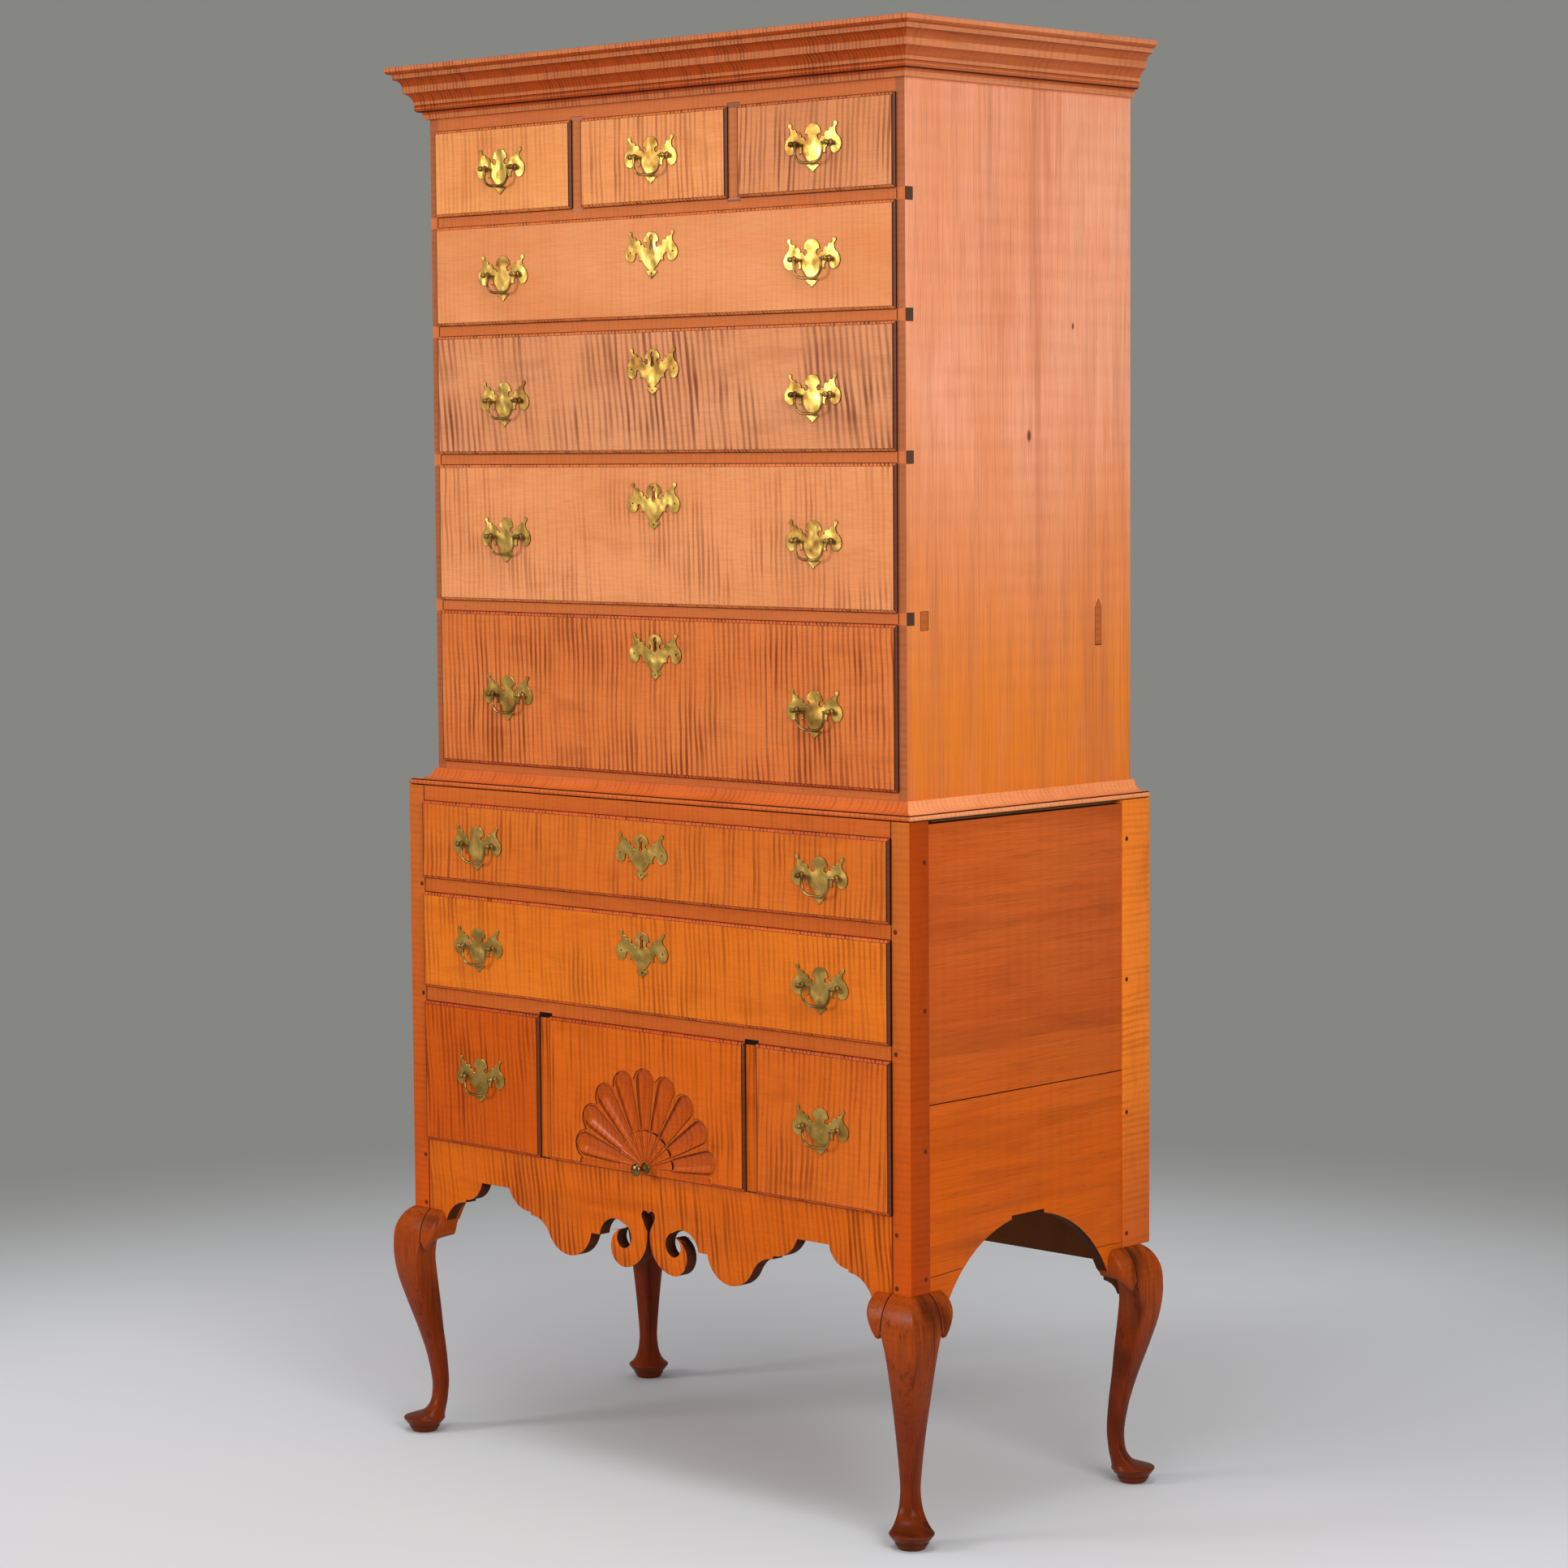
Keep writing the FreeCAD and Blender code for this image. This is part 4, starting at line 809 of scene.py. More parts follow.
# Knee blocks: the face of the knee carried on beside the leg, rolled over at its outer edge and
# cut to a drooping point below
kneeBlock = {
    "top": 308.7, "across": 16, "down": 22, "into": 428.0, "seam": (416.1, 418.2), "roll": 9.0,
    "edge": [(308.7, 394.0), (306.0, 390.5), (302.0, 387.6), (297.0, 385.6), (291.0, 385.0), (285.0, 385.6),
             (278.0, 388.2), (270.0, 392.4), (262.0, 396.8), (252.0, 401.4)],
    "feet": [(0.0, 262.0), (0.2, 256.5), (0.34, 254.0), (0.5, 258.0), (0.75, 266.0), (1.0, 274.0)],
    "crowd": 0.75, "tuck": 0.3, "tuckFrom": 4.0, "behindApron": 18.0, "behindSide": 17.0,
}


def valueAt(at, rows):
    # what rows of (place, value) say at a place between them, and past their ends what the nearer end says
    for (at0, value0), (at1, value1) in zip(rows, rows[1:]):
        if min(at0, at1) <= at <= max(at0, at1):
            return value0 + (value1 - value0) * (at - at0) / (at1 - at0)
    return min(rows, key=lambda row: abs(row[0] - at))[1]


kneeStands = [(row[0], row[1] * math.sqrt(0.5)) for row in smoothBetween(leg["rows"][:8], 8)]
blockEdge = [tuple(row) for row in smoothBetween(kneeBlock["edge"], 3)]


def blockRings(behind):
    # from the top down: the tenon in the post, the dark seam, then the face out to the rolled edge
    b = kneeBlock
    seam, rings = b["seam"], []
    for step in range(b["down"] + 1):
        ring = []
        for k in range(b["across"] + 3):
            share = max(0.0, (k - 2) / b["across"])
            foot = valueAt(share, b["feet"])
            z = b["top"] + (foot - b["top"]) * step / b["down"]
            edge = valueAt(z, blockEdge)
            x = seam[0] + (edge - seam[0]) * share ** b["crowd"]
            x = b["into"] if k == 0 else seam[1] if k == 1 else x
            inset = min(1.0, max(0.0, x - edge) / b["roll"])
            stand = valueAt(z, kneeStands) * math.sqrt(max(0.0, 1 - (1 - inset) ** 2))
            under = max(0.0, 1 - (z - foot) / b["tuckFrom"])
            ring.append((x, -stand * (1 - b["tuck"] * under ** 2), z))
        ring += [(ring[-1][0], behind, ring[-1][2]), (b["into"], behind, ring[0][2])]
        rings.append(ring)
    return rings


def blockParts():
    parts = []

    def addBlock(rings):
        # the seam beside the leg and the underside are dark: the underside is painted shade
        points, faces = loft(rings)
        across = len(rings[0])
        spans = [(min(face) % across, max(face) % across) if len(face) == 4 else None for face in faces]
        shaded = [face for face, span in zip(faces, spans) if span == (1, 2)] + [faces[-1]]
        parts.append((points, [face for face in faces if face not in shaded], 0))
        parts.append((points, shaded, 1))

    outer = leg["postOuter"]
    for side in (-1, 1):
        addBlock([[place(side * x, y, z) for x, y, z in ring]
                  for ring in blockRings(kneeBlock["behindApron"])])
        for corner, turn in ((0.0, 1), (leg["backCorner"], -1)):
            addBlock([[place(side * (outer - y), corner + turn * (outer - x), z) for x, y, z in ring]
                      for ring in blockRings(kneeBlock["behindSide"])])
    return parts


makePiece("knee_blocks_carved", "case", blockParts(), picked("legMaple edgeShade"),
          ["knee_blocks"], 50)
print("knee blocks made")


# Apron: the sawn board below the drawers, with a pair of scrolls and a heart between them
apron = {
    "top": 406.0, "thick": 18.0,
    "half": [(0, 406.0), (417.0, 406.0), (417.0, 282.7), (387.5, 282.7), ((375, 313), (346, 325)),
             (346, 328.5), ((323, 338), (314, 355)), (261, 355), ((249, 338), (220, 328.3)), (219, 324),
             ((198.1, 318.4), (184.1, 303.2)), ((147, 280.4), (105, 315)), (89.4, 315),
             ((67, 339), (44.5, 334.5)), ((31, 318.5), (45, 303)), ((57.5, 316), (46.5, 328.5)),
             ((69, 304), (43.5, 278.6)), (38, 279.4), ((10, 298), (2.2, 325)), (2.2, 330),
             (11.4, 347.5), ((9.5, 355.8), (0, 353))],
}


def darkEdges(piece, axis):
    # finish 1 on the sawn edges of a board that faces along an axis: dark unfinished wood with painted shade
    sortFaces(piece.data, lambda polygon: int(abs(polygon.normal[axis]) < 0.5))


outline = bothHalves(drawPath(apron["half"], 7))
apronBoard = hungPlate([outline], apron["thick"], 0.5, 0, apron["thick"], 0)
darkEdges(makePiece("apron_sawn", "case", [apronBoard], picked("apronMaple sawnEdge"), ["apron"],
                    kept=[0]), 1)
print("apron made")


# Sides of the lower case: two boards each, the lower one cut to an arch with a flat crown
sideBoard = {
    "middle": 439.0, "thick": 16.0, "front": 35.0, "back": 405.0, "foot": 282.7, "top": 876.2, "joint": 536.5,
    "gap": 0.35, "archY": 220.0, "archZ": 204.0, "radius": 174.5, "shoulder": 53, "flat": 31.0,
    "crown": 380.5,
}


def archedOutline():
    b = sideBoard
    radius, turn = b["radius"], math.radians(b["shoulder"])
    foot = (math.sqrt(radius ** 2 - (b["foot"] - b["archZ"]) ** 2), b["foot"])
    shoulder = (radius * math.cos(turn), b["archZ"] + radius * math.sin(turn))
    crown = (b["flat"], b["archZ"] + math.sqrt(radius ** 2 - b["flat"] ** 2))
    arch = bothHalves(drawPath([foot, (shoulder, crown), (b["flat"], b["crown"])], 5))
    joint = b["joint"] - b["gap"]
    return [(b["archY"] + y, z) for y, z in arch] + [(b["front"], b["foot"]), (b["front"], joint),
                                                    (b["back"], joint), (b["back"], b["foot"])]


def sideBoardParts():
    b = sideBoard
    joint = b["joint"] + b["gap"]
    upper = [(b["front"], joint), (b["front"], b["top"]), (b["back"], b["top"]), (b["back"], joint)]
    parts = []
    for outline in (upper, archedOutline()):
        points, faces = flatPlate([outline], b["thick"], 0.5)
        parts += [([place(side * b["middle"] + p.z, p.x, p.y) for p in points], faces) for side in (-1, 1)]
    return parts


darkEdges(makePiece("side_boards_arched", "case", sideBoardParts(), picked("lowerSide sawnEdge"),
                    ["lower_sides"], kept=[0]), 0)
print("side boards made")


# Pegs through the joints, round and a little proud
pegPlan = {
    "radius": 3.0, "front": [(425.5, z) for z in (748.0, 600.5, 381.0, 316.0)],
    "side": [(y, z) for y in (27.0, 413.0) for z in (831.0, 652.0, 482.0, 326.0)],
}


def pegParts():
    parts, r = [], pegPlan["radius"]
    profile = [(r, 2.0), (r, -0.2), (r * 0.7, -0.45), (0.3, -0.5)]
    for side in (-1, 1):
        parts += [turnedAlongY(profile, side * x, z, 12) for x, z in pegPlan["front"]]
        sideways = [(q, side * (leg["postOuter"] - depth)) for q, depth in profile]
        parts += [turnedAlongX(sideways, y, z) for y, z in pegPlan["side"]]
    return parts


makePiece("pegs_round", "case", pegParts(), picked("darkPeg"), ["pegs"])
print("pegs made")


# Brasses: bat-wing plates, turned posts, drop bails, escutcheons and the shell drawer's knob
brass = {
    "thick": 1.3, "soft": 0.35, "spread": 29.0, "bailAxis": 9.2, "closest": 0.05,
    "half": [(0, 24.4), ((9.6, 20.8), (13.2, 12.0)), (10.6, 12.0), ((7.2, 8.4), (10.6, 4.8)),
             ((12.6, 5.6), (13.8, 7.6)), (16.0, 9.4), ((17.2, 8.2), (18.9, 8.9)),
             ((19.4, 12.2), (23.6, 14.6)), ((25.4, 14.0), (27.2, 15.0)), ((27.8, 17.4), (31.4, 18.0)),
             (33.4, 18.6), (35.0, 20.6), ((37.0, 25.5), (40.4, 21.8)), (37.3, 18.4),
             ((37.2, 13.2), (41.2, 8.2)), ((45.4, 3.2), (46.6, -3.0)), ((42.8, -10.2), (36.6, -12.6)),
             ((30.6, -10.2), (28.6, -4.8)), ((26.2, -1.8), (23.4, -3.8)), ((20.8, -7.6), (22.6, -12.4)),
             ((17.8, -11.0), (13.6, -13.8)), ((10.2, -18.2), (3.6, -22.9)), (3.6, -23.7),
             ((7.4, -24.1), (11.3, -26.6)), ((7.4, -27.4), (5.4, -29.8)), ((2.6, -31.2), (0, -34.2))],
    "keyhole": [(0, 20.8), ((3.4, 17.4), (2.3, 13.6)), ((2.0, 9.6), (3.0, 5.4)), ((0, 1.6), (-3.0, 5.4)),
                ((-2.0, 9.6), (-2.3, 13.6)), ((-3.4, 17.4), (0, 20.8))],
    "post": [(2.4, 0.2), (4.6, 0.0), (4.6, -0.8), (3.2, -1.6), (2.2, -2.6), (2.0, -3.6), (2.5, -4.6),
             (3.3, -5.8), (3.65, -7.2), (3.6, -8.6), (3.0, -10.2), (1.9, -11.3), (0.3, -11.7)],
    "pins": [(-37.4, -0.8), (37.4, -0.8), (0, -27.4)],
    "pin": [(1.3, 0.2), (1.2, -0.1), (0.7, -0.4), (0.1, -0.5)],
}
bail = {
    "inner": 24.0, "drop": 25.0, "above": 1.6, "thin": 1.45, "thick": 1.8, "steps": 40,
    "square": 0.62, "full": 0.7, "narrows": 0.06,      # the bow: how square and full, how much it draws in
    "end": [(0.6, -2.4), (1.6, -1.6), (1.95, -0.2), (1.6, 1.0), (1.1, 1.4), (1.1, 6.4)],
}
lock = {
    "half": 27, "below": 14, "above": 22, "deep": 9,
    "boltHalf": 9, "boltUp": 4, "boltFrom": 2, "boltTo": 7,
}
plateOutline = bothHalves(drawPath(brass["half"], 14))
plateOutline = [point for k, point in enumerate(plateOutline)
                if math.dist(point, plateOutline[k - 1]) > brass["closest"]]
keyholeOutline = drawPath(brass["keyhole"], 20)[:-1]

# name: pulls (x, z), escutcheon (x, z)
brassPlan = {
    "top_left": ([(-278, 1691)], None), "top_middle": ([(0, 1691)], None), "top_right": ([(278, 1691)], None),
    "upper_first": ([(-275, 1553.0), (275, 1553.0)], (0, 1573.0)),
    "upper_second": ([(-275, 1390.0), (275, 1390.0)], (0, 1427.0)),
    "upper_third": ([(-275, 1213.0), (275, 1213.0)], (0, 1258.0)),
    "upper_fourth": ([(-275, 1006.0), (275, 1006.0)], (0, 1068.0)),
    "lower_first": ([(-308, 807.5), (308, 807.5)], (0, 816.0)),
    "lower_second": ([(-308, 672.5), (308, 672.5)], (0, 691.0)),
    "bottom_left": ([(-307, 499)], None), "bottom_right": ([(307, 499)], None),
}


def plateParts(outlines, x, z, front):
    return [(*hungPlate(outlines, brass["thick"], brass["soft"], x, front, z), 0)]


def pullParts(x, z, face):
    front = face - lipProud
    profile = [(r, front - brass["thick"] + y) for r, y in brass["post"]]
    posts = [(*turnedAlongY(profile, x + side * brass["spread"], z, 20), 1) for side in (-1, 1)]
    return plateParts([plateOutline], x, z, front) + posts


def escutcheonParts(x, z, face):
    # the plate with its pins, and behind the drawer front the lock with its bolt
    front, back = face - lipProud, face + drawerFront["thick"]
    profile = [(r, front - brass["thick"] + y) for r, y in brass["pin"]]
    pins = [(*turnedAlongY(profile, x + u, z + v, 10), 2) for u, v in brass["pins"]]
    top, half, boltHalf = z + lock["above"], lock["half"], lock["boltHalf"]
    box = softBox(x - half, x + half, back, back + lock["deep"], z - lock["below"], top, 1.0)
    bolt = softBox(x - boltHalf, x + boltHalf, back + lock["boltFrom"], back + lock["boltTo"],
                   top, top + lock["boltUp"])
    return plateParts([plateOutline, keyholeOutline], x, z, front) + pins + [(*box, 3), (*bolt, 3)]


def makeBail(name, x, z, face):
    y = face - lipProud - brass["bailAxis"]
    line, radii = [], []
    for k in range(bail["steps"] + 1):
        angle = math.pi * k / bail["steps"]
        across = math.copysign(abs(math.cos(angle)) ** bail["square"], math.cos(angle))
        down = math.sin(angle) ** bail["full"]
        line.append(place(x + bail["inner"] * across * (1 - bail["narrows"] * (1 - down)), y,
                          z + bail["above"] - (bail["drop"] + bail["above"] - bail["thick"]) * down))
        radii.append(bail["thin"] + (bail["thick"] - bail["thin"]) * down)
    parts = [tubeAlong(line, radii)]
    for side in (-1, 1):
        end = x + side * bail["inner"] * (1 - bail["narrows"])
        parts.append(turnedAlongX([(r, end + side * reach) for r, reach in bail["end"]], y, z))
    makePiece(name + "_drop", name, parts, picked("bailBronze"), [name], 50)


def plateNumber(polygon):
    # the edges of a plate are dark, grime with painted shade: 4
    return 4 if polygon.material_index == 0 and polygon.normal.y > -0.9 else polygon.material_index


for name, (pulls, escutcheon) in brassPlan.items():
    face = drawerFace(name)
    parts = [part for x, z in pulls for part in pullParts(x, z, face)]
    if escutcheon:
        parts += escutcheonParts(*escutcheon, face)
    finishes = picked(("plateBright" if face else "plateOlive") + " bailBronze pinDark lockIron plateEdge")
    plates = makePiece(name + "_plates", name, parts, finishes, [name + "_brasses"], kept=[0])
    for polygon in plates.data.polygons:
        polygon.use_smooth = polygon.material_index != 0
    sortFaces(plates.data, plateNumber)
    sides = [""] if len(pulls) == 1 else ["_left", "_right"]
    for side, (x, z) in zip(sides, pulls):
        makeBail(name + "_bail" + side, x, z, face)

knob = {"at": (0, 413.0), "profile": [
    (0.3, -20.0), (3.4, -19.6), (6.4, -18.4), (8.0, -16.8), (8.2, -15.6), (7.4, -14.6), (4.0, -13.6),
    (2.9, -12.0), (2.8, -3.0), (3.8, -1.6), (7.0, 0.2), (7.5, 0.8), (7.5, 1.5), (2.0, 1.6)]}
knobTurned = turnedAlongY([(r, y - lipProud) for r, y in knob["profile"]], *knob["at"], 28)
makePiece("shell_knob", "shell", [knobTurned], picked("knobBronze"), ["shell_brasses"], 40)
print("brasses made")


# The carved shell: nine spoon-ended flutes round a point near the lower edge of its drawer. Millimetres
# on the drawer's face: u across, v up from the shell's centre, depths below the field.
shell = {
    "centre": 413.0, "flutes": 9, "tip": 128.0, "valley": 114.0, "foot": 118.0, "ground": 1.4, "hub": 9.0,
    "stepAt": 48.0, "endAt": 111.8, "endRadius": 14.8, "inner": 7.0, "deep": 6.6, "deepInner": 3.6,
    "wedge": 0.66, "wedgeDeep": 0.9, "acrossFlute": 14, "acrossRib": 3, "seam": 0.8,
    "ribCrown": 0.35, "edgeDepth": 0.25, "flare": 1.002, "narrowest": 0.1, "widest": 0.46,
    "rings": [9, 16, 24, 32, 40, 46.6, 47.6, 48.4, 50, 56, 64, 72, 80, 88, 94], "outerRings": 16,
}
shellFan = math.pi / shell["flutes"]


def lobeEdge(angle):
    # the lobed outline: arcs from valley to valley through each tip
    off = (angle % shellFan) - shellFan / 2
    half = shell["valley"] * math.sin(shellFan / 2)
    rise = shell["tip"] - shell["valley"] * math.cos(shellFan / 2)
    radius = (half ** 2 + rise ** 2) / (2 * rise)
    centre = shell["tip"] - radius
    return centre * math.cos(off) + math.sqrt(max(0.0, radius ** 2 - (centre * math.sin(off)) ** 2))


def fluteHalf(along):
    if along < shell["stepAt"]:
        return along * math.tan(shellFan / 2) * shell["wedge"]
    share = (along - shell["stepAt"]) / (shell["endAt"] - shell["stepAt"])
    if share < 1:
        return shell["inner"] + (shell["endRadius"] - shell["inner"]) * share ** 0.85
    return math.sqrt(max(0.0, shell["endRadius"] ** 2 - (along - shell["endAt"]) ** 2))


def fluteDepth(along, aside):
    # below the ground, at a place beside the flute's own line
    if along < shell["stepAt"]:
        half = fluteHalf(along)
        return shell["wedgeDeep"] * max(0.0, 1 - (aside / half) ** 2) ** 0.6 if half > 0.3 else 0.0
    share = min(1.0, (along - shell["stepAt"]) / (shell["endAt"] - shell["stepAt"]))
    deep = shell["deepInner"] + (shell["deep"] - shell["deepInner"]) * share
    if along > shell["endAt"]:
        away = math.hypot(along - shell["endAt"], aside) / shell["endRadius"]
    else:
        away = abs(aside) / fluteHalf(along)
    return deep * max(0.0, 1 - away ** 2) ** 0.75


def fluteEdge(radiusAt):
    # how far to the side of its middle a flute ends on a ring, found by halving
    inside, outside = 0.0, shellFan / 2
    for _ in range(24):
        off = (inside + outside) / 2
        r = radiusAt(off)
        if r * math.sin(off) < fluteHalf(r * math.cos(off)):
            inside = off
        else:
            outside = off
    return min(max(inside, shell["narrowest"] * shellFan), shell["widest"] * shellFan)


def shellRing(level):
    # one ring of the relief, as points (u, v, depth) from its right-hand end to its left-hand one
    points = []
    n, m, last = shell["acrossFlute"], shell["acrossRib"], shell["rings"][-1]
    for flute in range(shell["flutes"]):
        middle = (flute + 0.5) * shellFan

        def radiusAt(off):
            # the inner rings are round, and the outer ones turn by degrees into the lobed edge
            if level <= last:
                return level
            return last + (lobeEdge(middle + off) - last) * (level - last) / 100

        edge = fluteEdge(radiusAt)
        rib = shellFan / 2 - edge
        seam = min(shell["seam"] / max(radiusAt(edge), 8), 0.4 * rib)
        offs = [-shellFan / 2 + (rib - seam) * k / m for k in range(m)]
        offs += [-edge - seam] + [-edge + 2 * edge * k / n for k in range(n + 1)] + [edge + seam]
        offs += [edge + seam + (rib - seam) * k / m for k in range(1, m)]
        if flute == shell["flutes"] - 1:
            offs.append(shellFan / 2)
        for off in offs:
            r, deep = radiusAt(off), 0.0
            if abs(off) < edge - 1e-9:
                deep = fluteDepth(r * math.cos(off), r * math.sin(off))
            elif r > shell["stepAt"]:
                share = max(0.0, min(1.0, (abs(off) - edge) / rib * 0.5))
                deep = -shell["ribCrown"] * math.sin(math.pi * share)
            points.append((r * math.cos(middle + off), r * math.sin(middle + off), shell["ground"] + deep))
    return points


def shellRelief():
    # its points, its faces by kind (0 rib, 1 flute, 2 seam, 3 wall of a flute; the seams and walls take
    # painted shade) and its outline
    face = drawerFace("shell") - lipProud
    inner, outer = shell["rings"], shell["outerRings"]
    levels = inner + [inner[-1] + 100 * (k / outer) for k in range(1, outer + 1)]
    rings = [shellRing(level) for level in levels]
    rings[-1] = [(u, v, shell["ground"]) for u, v, _ in rings[-1]]
    rings.append([(u, v, shell["edgeDepth"]) for u, v, _ in rings[-1]])
    rings.append([(u * shell["flare"], v * shell["flare"], 0.0) for u, v, _ in rings[-1]])
    points, faces = loft([[place(u, face + deep, shell["centre"] + v) for u, v, deep in ring]
                          for ring in rings], closed=False, capped=False)
    stepRing = max(k for k, level in enumerate(inner) if level < shell["stepAt"])
    perFlute = shell["acrossFlute"] + 2 * shell["acrossRib"] + 2
    start = shell["acrossRib"]
    end = start + shell["acrossFlute"] + 1
    kinds = {0: [], 1: [], 2: [], 3: []}
    count = len(rings[0])
    for index, spot in enumerate(faces):
        ring, column = divmod(index, count - 1)
        column %= perFlute
        if ring >= len(levels) - 1 or ring == stepRing or column in (start, end):
            kind = 2
        elif start < column < end:
            kind = 3 if ring > stepRing + 1 and column in (start + 1, end - 1) else 1
        else:
            kind = 0
        kinds[kind].append(spot)
    return points, kinds, [(p.x / mm, p.z / mm) for p in points[-count:]]


# The front of the shell drawer, in the same terms: its lip, the part of it that the carving takes up,
# and the sill under the shell
shellFront = {"left": -176.0, "right": 176.0, "low": 404.0, "high": 591.0, "sill": 404.87,
              "carvedHalf": 129.0, "carvedTop": 545.0, "carvedDeep": 8.0}


def keptFaces(old, face):
    # the faces of the solid drawer that stay, by finish: all but its field and its carving
    f, lipIn, byFinish = shellFront, drawerFront["lipIn"], {}
    for polygon in old.polygons:
        x, y, z = faceCentre(polygon)
        depth = y - (face - lipProud)
        onFoot = abs(abs(x) - shell["foot"]) < 0.05
        field = depth < 0.01 and polygon.normal.y < -0.9
        inside = abs(x) < f["carvedHalf"] and f["low"] + lipIn < z < f["carvedTop"]
        carved = inside and 0.01 < depth < f["carvedDeep"] and not onFoot
        if field or carved or onFoot and z > shell["centre"] + 0.5:
            continue
        byFinish.setdefault(drawerNumber(old, polygon, face), []).append(tuple(polygon.vertices))
    return byFinish


def shellDrawer():
    # the drawer's own boards, with the field of its front cut again round the smooth relief
    face = drawerFace("shell")
    f, lipIn, foot, centre = shellFront, drawerFront["lipIn"], shell["foot"], shell["centre"]
    points, kinds, outline = shellRelief()
    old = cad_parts["shell_drawer"].data
    corners = [vertex.co.copy() for vertex in old.vertices]
    parts = [(corners, faces, number) for number, faces in keptFaces(old, face).items()]

    def addFlat(spots, depth, number):
        parts.append(([place(u, depth, v) for u, v in spots], [tuple(range(len(spots)))], number))

    left, right, low, high = f["left"] + lipIn, f["right"] - lipIn, f["low"] + lipIn, f["high"] - lipIn
    edge = [(foot, low), (right, low), (right, high), (left, high), (left, low), (-foot, low)]
    addFlat(edge + [(-foot, centre)] + outline[::-1] + [(foot, centre)], face - lipProud, 0)
    ground = face - lipProud + shell["ground"]
    addFlat([(-foot, f["sill"]), (foot, f["sill"]), (foot, centre), (-foot, centre)], ground, 6)
    addFlat([(u, centre + v) for u, v in circle(shell["hub"], 24)[:13]], ground, 6)
    parts += [(points, kinds[kind], 6 + kind) for kind in kinds]
    makePiece("shell_drawer_carved", "shell", parts,
              drawerFinishes["shell"] + picked("shellRib shellFlute edgeShade shellWall"),
              ["shell_drawer"], 32)


shellDrawer()
print("shell carved")


# Repairs let into the right side of the upper case: a small square one and a pointed one
sidePatches = {
    "square": [(53.0, 1106.0), (67.7, 1106.0), (67.7, 1129.2), (53.0, 1129.2)],
    "pointed": [(384.2, 1076.0), (397.0, 1076.0), (397.0, 1123.0), (391.3, 1135.0), (384.2, 1123.0)],
    "stands": 0.12, "drawnIn": (0.09, 0.045),
}


def patchParts(outline):
    # a dark seam all round, then the patch, drawn in to its own middle
    middleY = sum(y for y, z in outline) / len(outline)
    middleZ = sum(z for y, z in outline) / len(outline)
    inY, inZ = sidePatches["drawnIn"]
    inner = [(y + (middleY - y) * inY, z + (middleZ - z) * inZ) for y, z in outline]
    rings = [[place(moulding["caseHalf"] + x, y, z) for y, z in ring] for ring, x in
             ((outline, -0.5), (outline, sidePatches["stands"]), (inner, sidePatches["stands"]))]
    return [(*loft(rings, capped=False), 1), (rings[2], [tuple(range(len(outline)))], 0)]


makePiece("side_patches", "case", patchParts(sidePatches["square"]) + patchParts(sidePatches["pointed"]),
          picked("patchMaple edgeShade"))
print("patches let in")


# Floor, light and camera
studio = {
    "floor": (216, 218, 220), "sky": (134, 134, 131), "skyLight": (170, 170, 172), "fadeFrom": 1.1,
    "fadeTo": 2.6, "radius": 9, "around": 64, "under": 0.0005, "aim": (0, 218, 950),
}
floorMesh = bpy.data.meshes.new("studioFloor")
floorPoints = [(0, 0, 0)] + [(x, y, 0) for x, y in circle(studio["radius"], studio["around"])]
floorMesh.from_pydata(floorPoints, [], [(0, 1 + k, 1 + (k + 1) % studio["around"])
                                        for k in range(studio["around"])])
floor = bpy.data.objects.new("studioFloor", floorMesh)
floor.location.z = -studio["under"]
bpy.context.scene.collection.objects.link(floor)
floorFinish, tree, shader, where = startFinish("studioPaper")
shader.inputs["Base Color"].default_value = linear(studio["floor"])
shader.inputs["Roughness"].default_value = 0.8
shader.inputs["Specular IOR Level"].default_value = 0.1
distance = addNode(tree, "VectorMath", {0: where}, operation="LENGTH").outputs["Value"]
fade = band(tree, distance, studio["fadeFrom"], studio["fadeTo"])
clear = addNode(tree, "BsdfTransparent").outputs[0]
mixed = addNode(tree, "MixShader", {0: fade, 1: shader.outputs[0], 2: clear}).outputs[0]
tree.links.new(mixed, tree.nodes["Material Output"].inputs["Surface"])
floorMesh.materials.append(floorFinish)

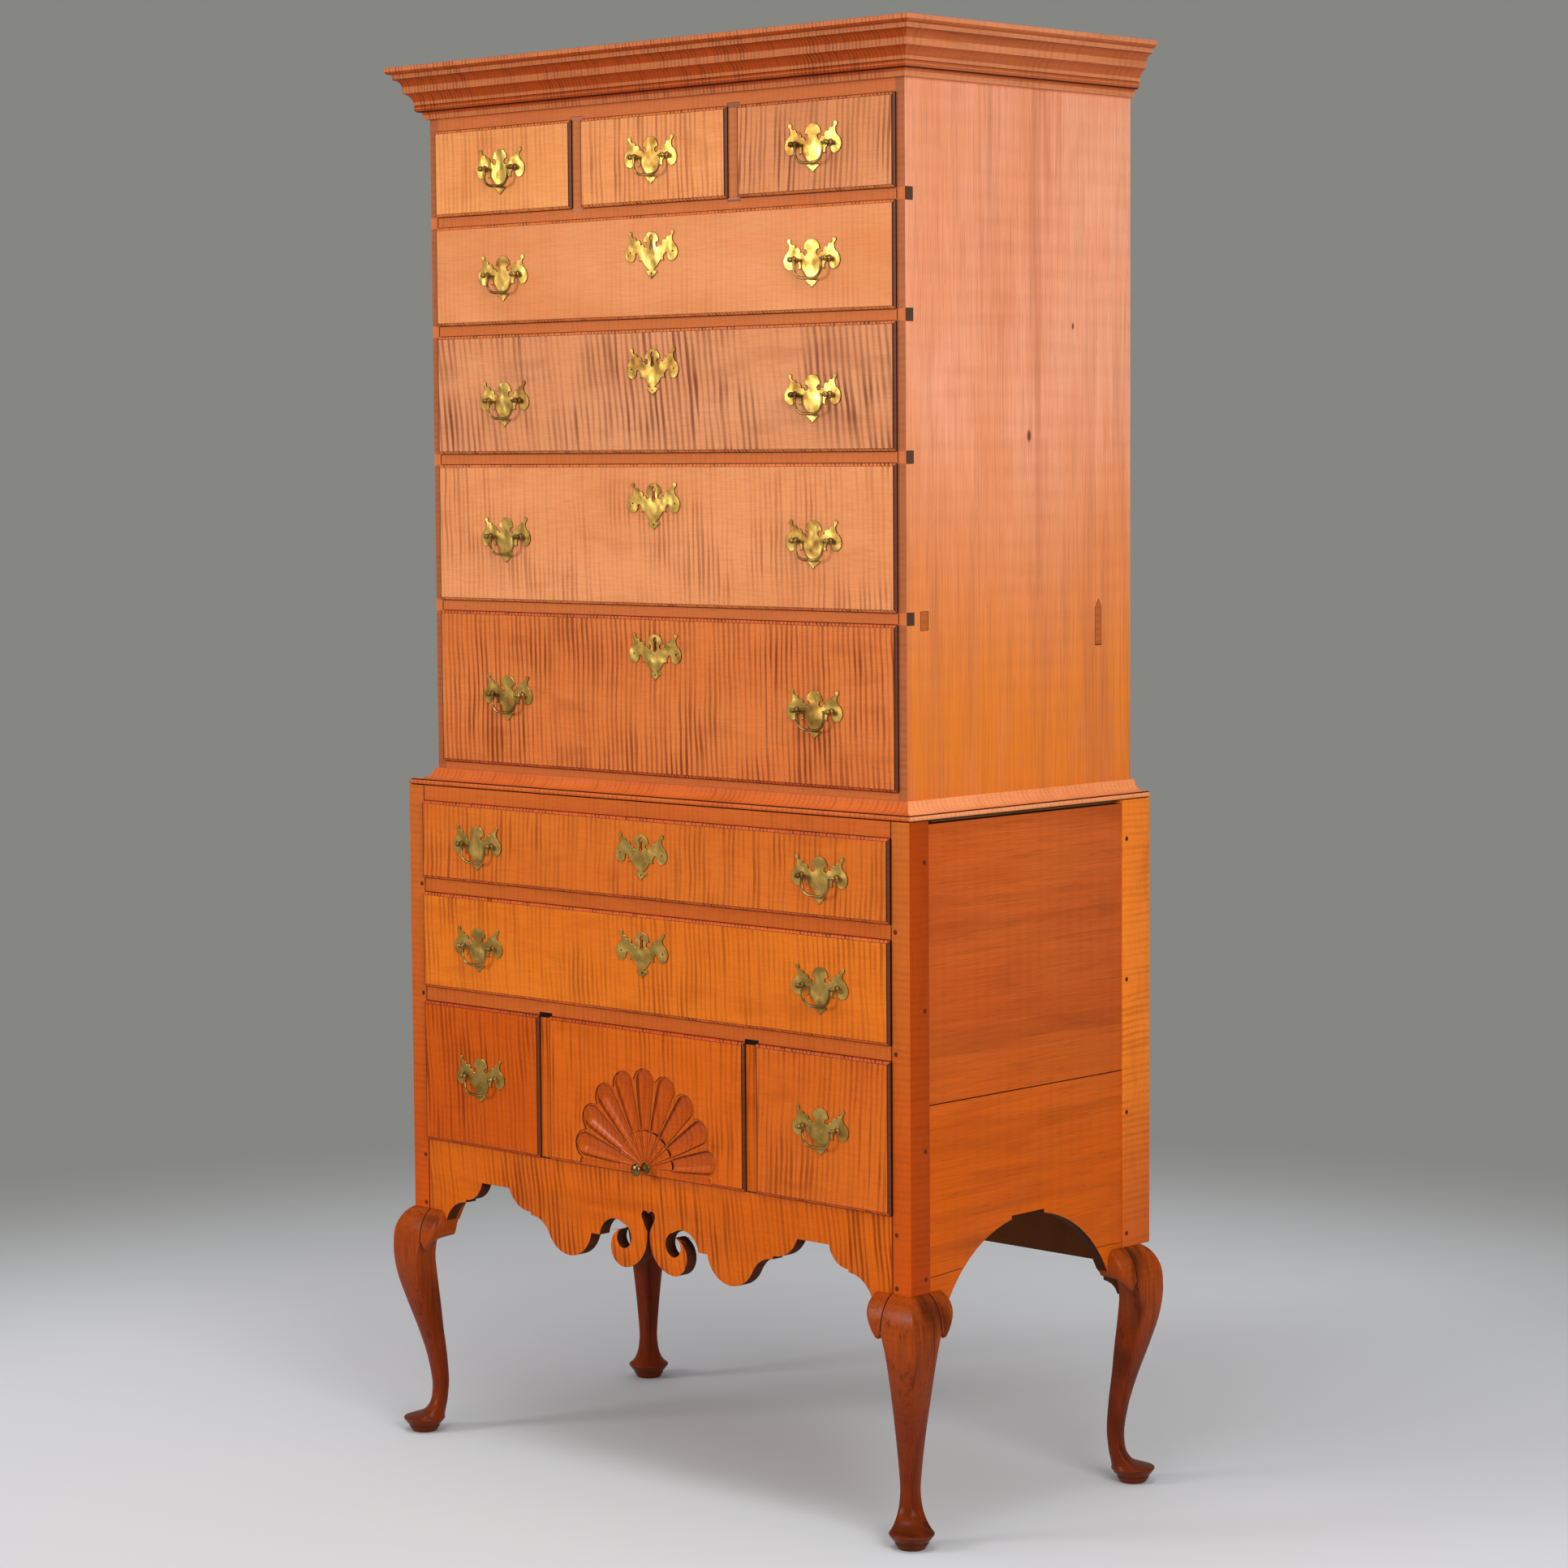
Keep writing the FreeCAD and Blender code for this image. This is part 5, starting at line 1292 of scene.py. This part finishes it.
world = bpy.data.worlds.new("studioWorld")
bpy.context.scene.world = world
world.use_nodes = True
tree = world.node_tree
ray = addNode(tree, "LightPath")
seen = maths(tree, "MAXIMUM", ray.outputs["Is Camera Ray"], ray.outputs["Is Glossy Ray"])
seen = maths(tree, "MAXIMUM", seen, ray.outputs["Is Transmission Ray"])
skyColour = blend(tree, seen, linear(studio["skyLight"]), linear(studio["sky"]))
tree.links.new(skyColour, tree.nodes["Background"].inputs["Color"])

lamps = {
    "keyLeft": {"at": (-2600, -4300, 2300), "size": 1.7, "power": 98},
    "fillRight": {"at": (3900, -1500, 2300), "size": 2.4, "power": 100},
    "topSoft": {"at": (300, -600, 4300), "size": 2.0, "power": 52},
}
for name, look in lamps.items():
    light = bpy.data.lights.new(name, "AREA")
    light.shape, light.size, light.energy = "DISK", look["size"], look["power"]
    lamp = bpy.data.objects.new(name, light)
    lamp.location = place(*look["at"])
    lamp.rotation_mode = "QUATERNION"
    lamp.rotation_quaternion = (place(*studio["aim"]) - lamp.location).to_track_quat("-Z", "Y")
    bpy.context.scene.collection.objects.link(lamp)

camera = {"at": (3.6143, -3.7761, 1.3211), "yaw": 0.7584, "pitch": -0.0824, "roll": -0.0067, "lens": 92.34}
cameraData = bpy.data.cameras.new("portraitCamera")
cameraData.lens, cameraData.sensor_width, cameraData.sensor_fit = camera["lens"], 36.0, "HORIZONTAL"
cameraData.clip_end = 60
cameraObject = bpy.data.objects.new("portraitCamera", cameraData)
bpy.context.scene.collection.objects.link(cameraObject)
yaw, pitch, roll = camera["yaw"], camera["pitch"], camera["roll"]
ahead = Vector((-math.sin(yaw) * math.cos(pitch), math.cos(yaw) * math.cos(pitch), math.sin(pitch)))
right = Vector((math.cos(yaw), math.sin(yaw), 0))
up = right.cross(ahead)
rolledRight = right * math.cos(roll) + up * math.sin(roll)
rolledUp = up * math.cos(roll) - right * math.sin(roll)
turned = Matrix((rolledRight, rolledUp, -ahead)).transposed().to_4x4()
cameraObject.matrix_world = Matrix.Translation(Vector(camera["at"])) @ turned
bpy.context.scene.camera = cameraObject
bpy.context.scene.view_settings.view_transform = "Standard"
print("studio ready")
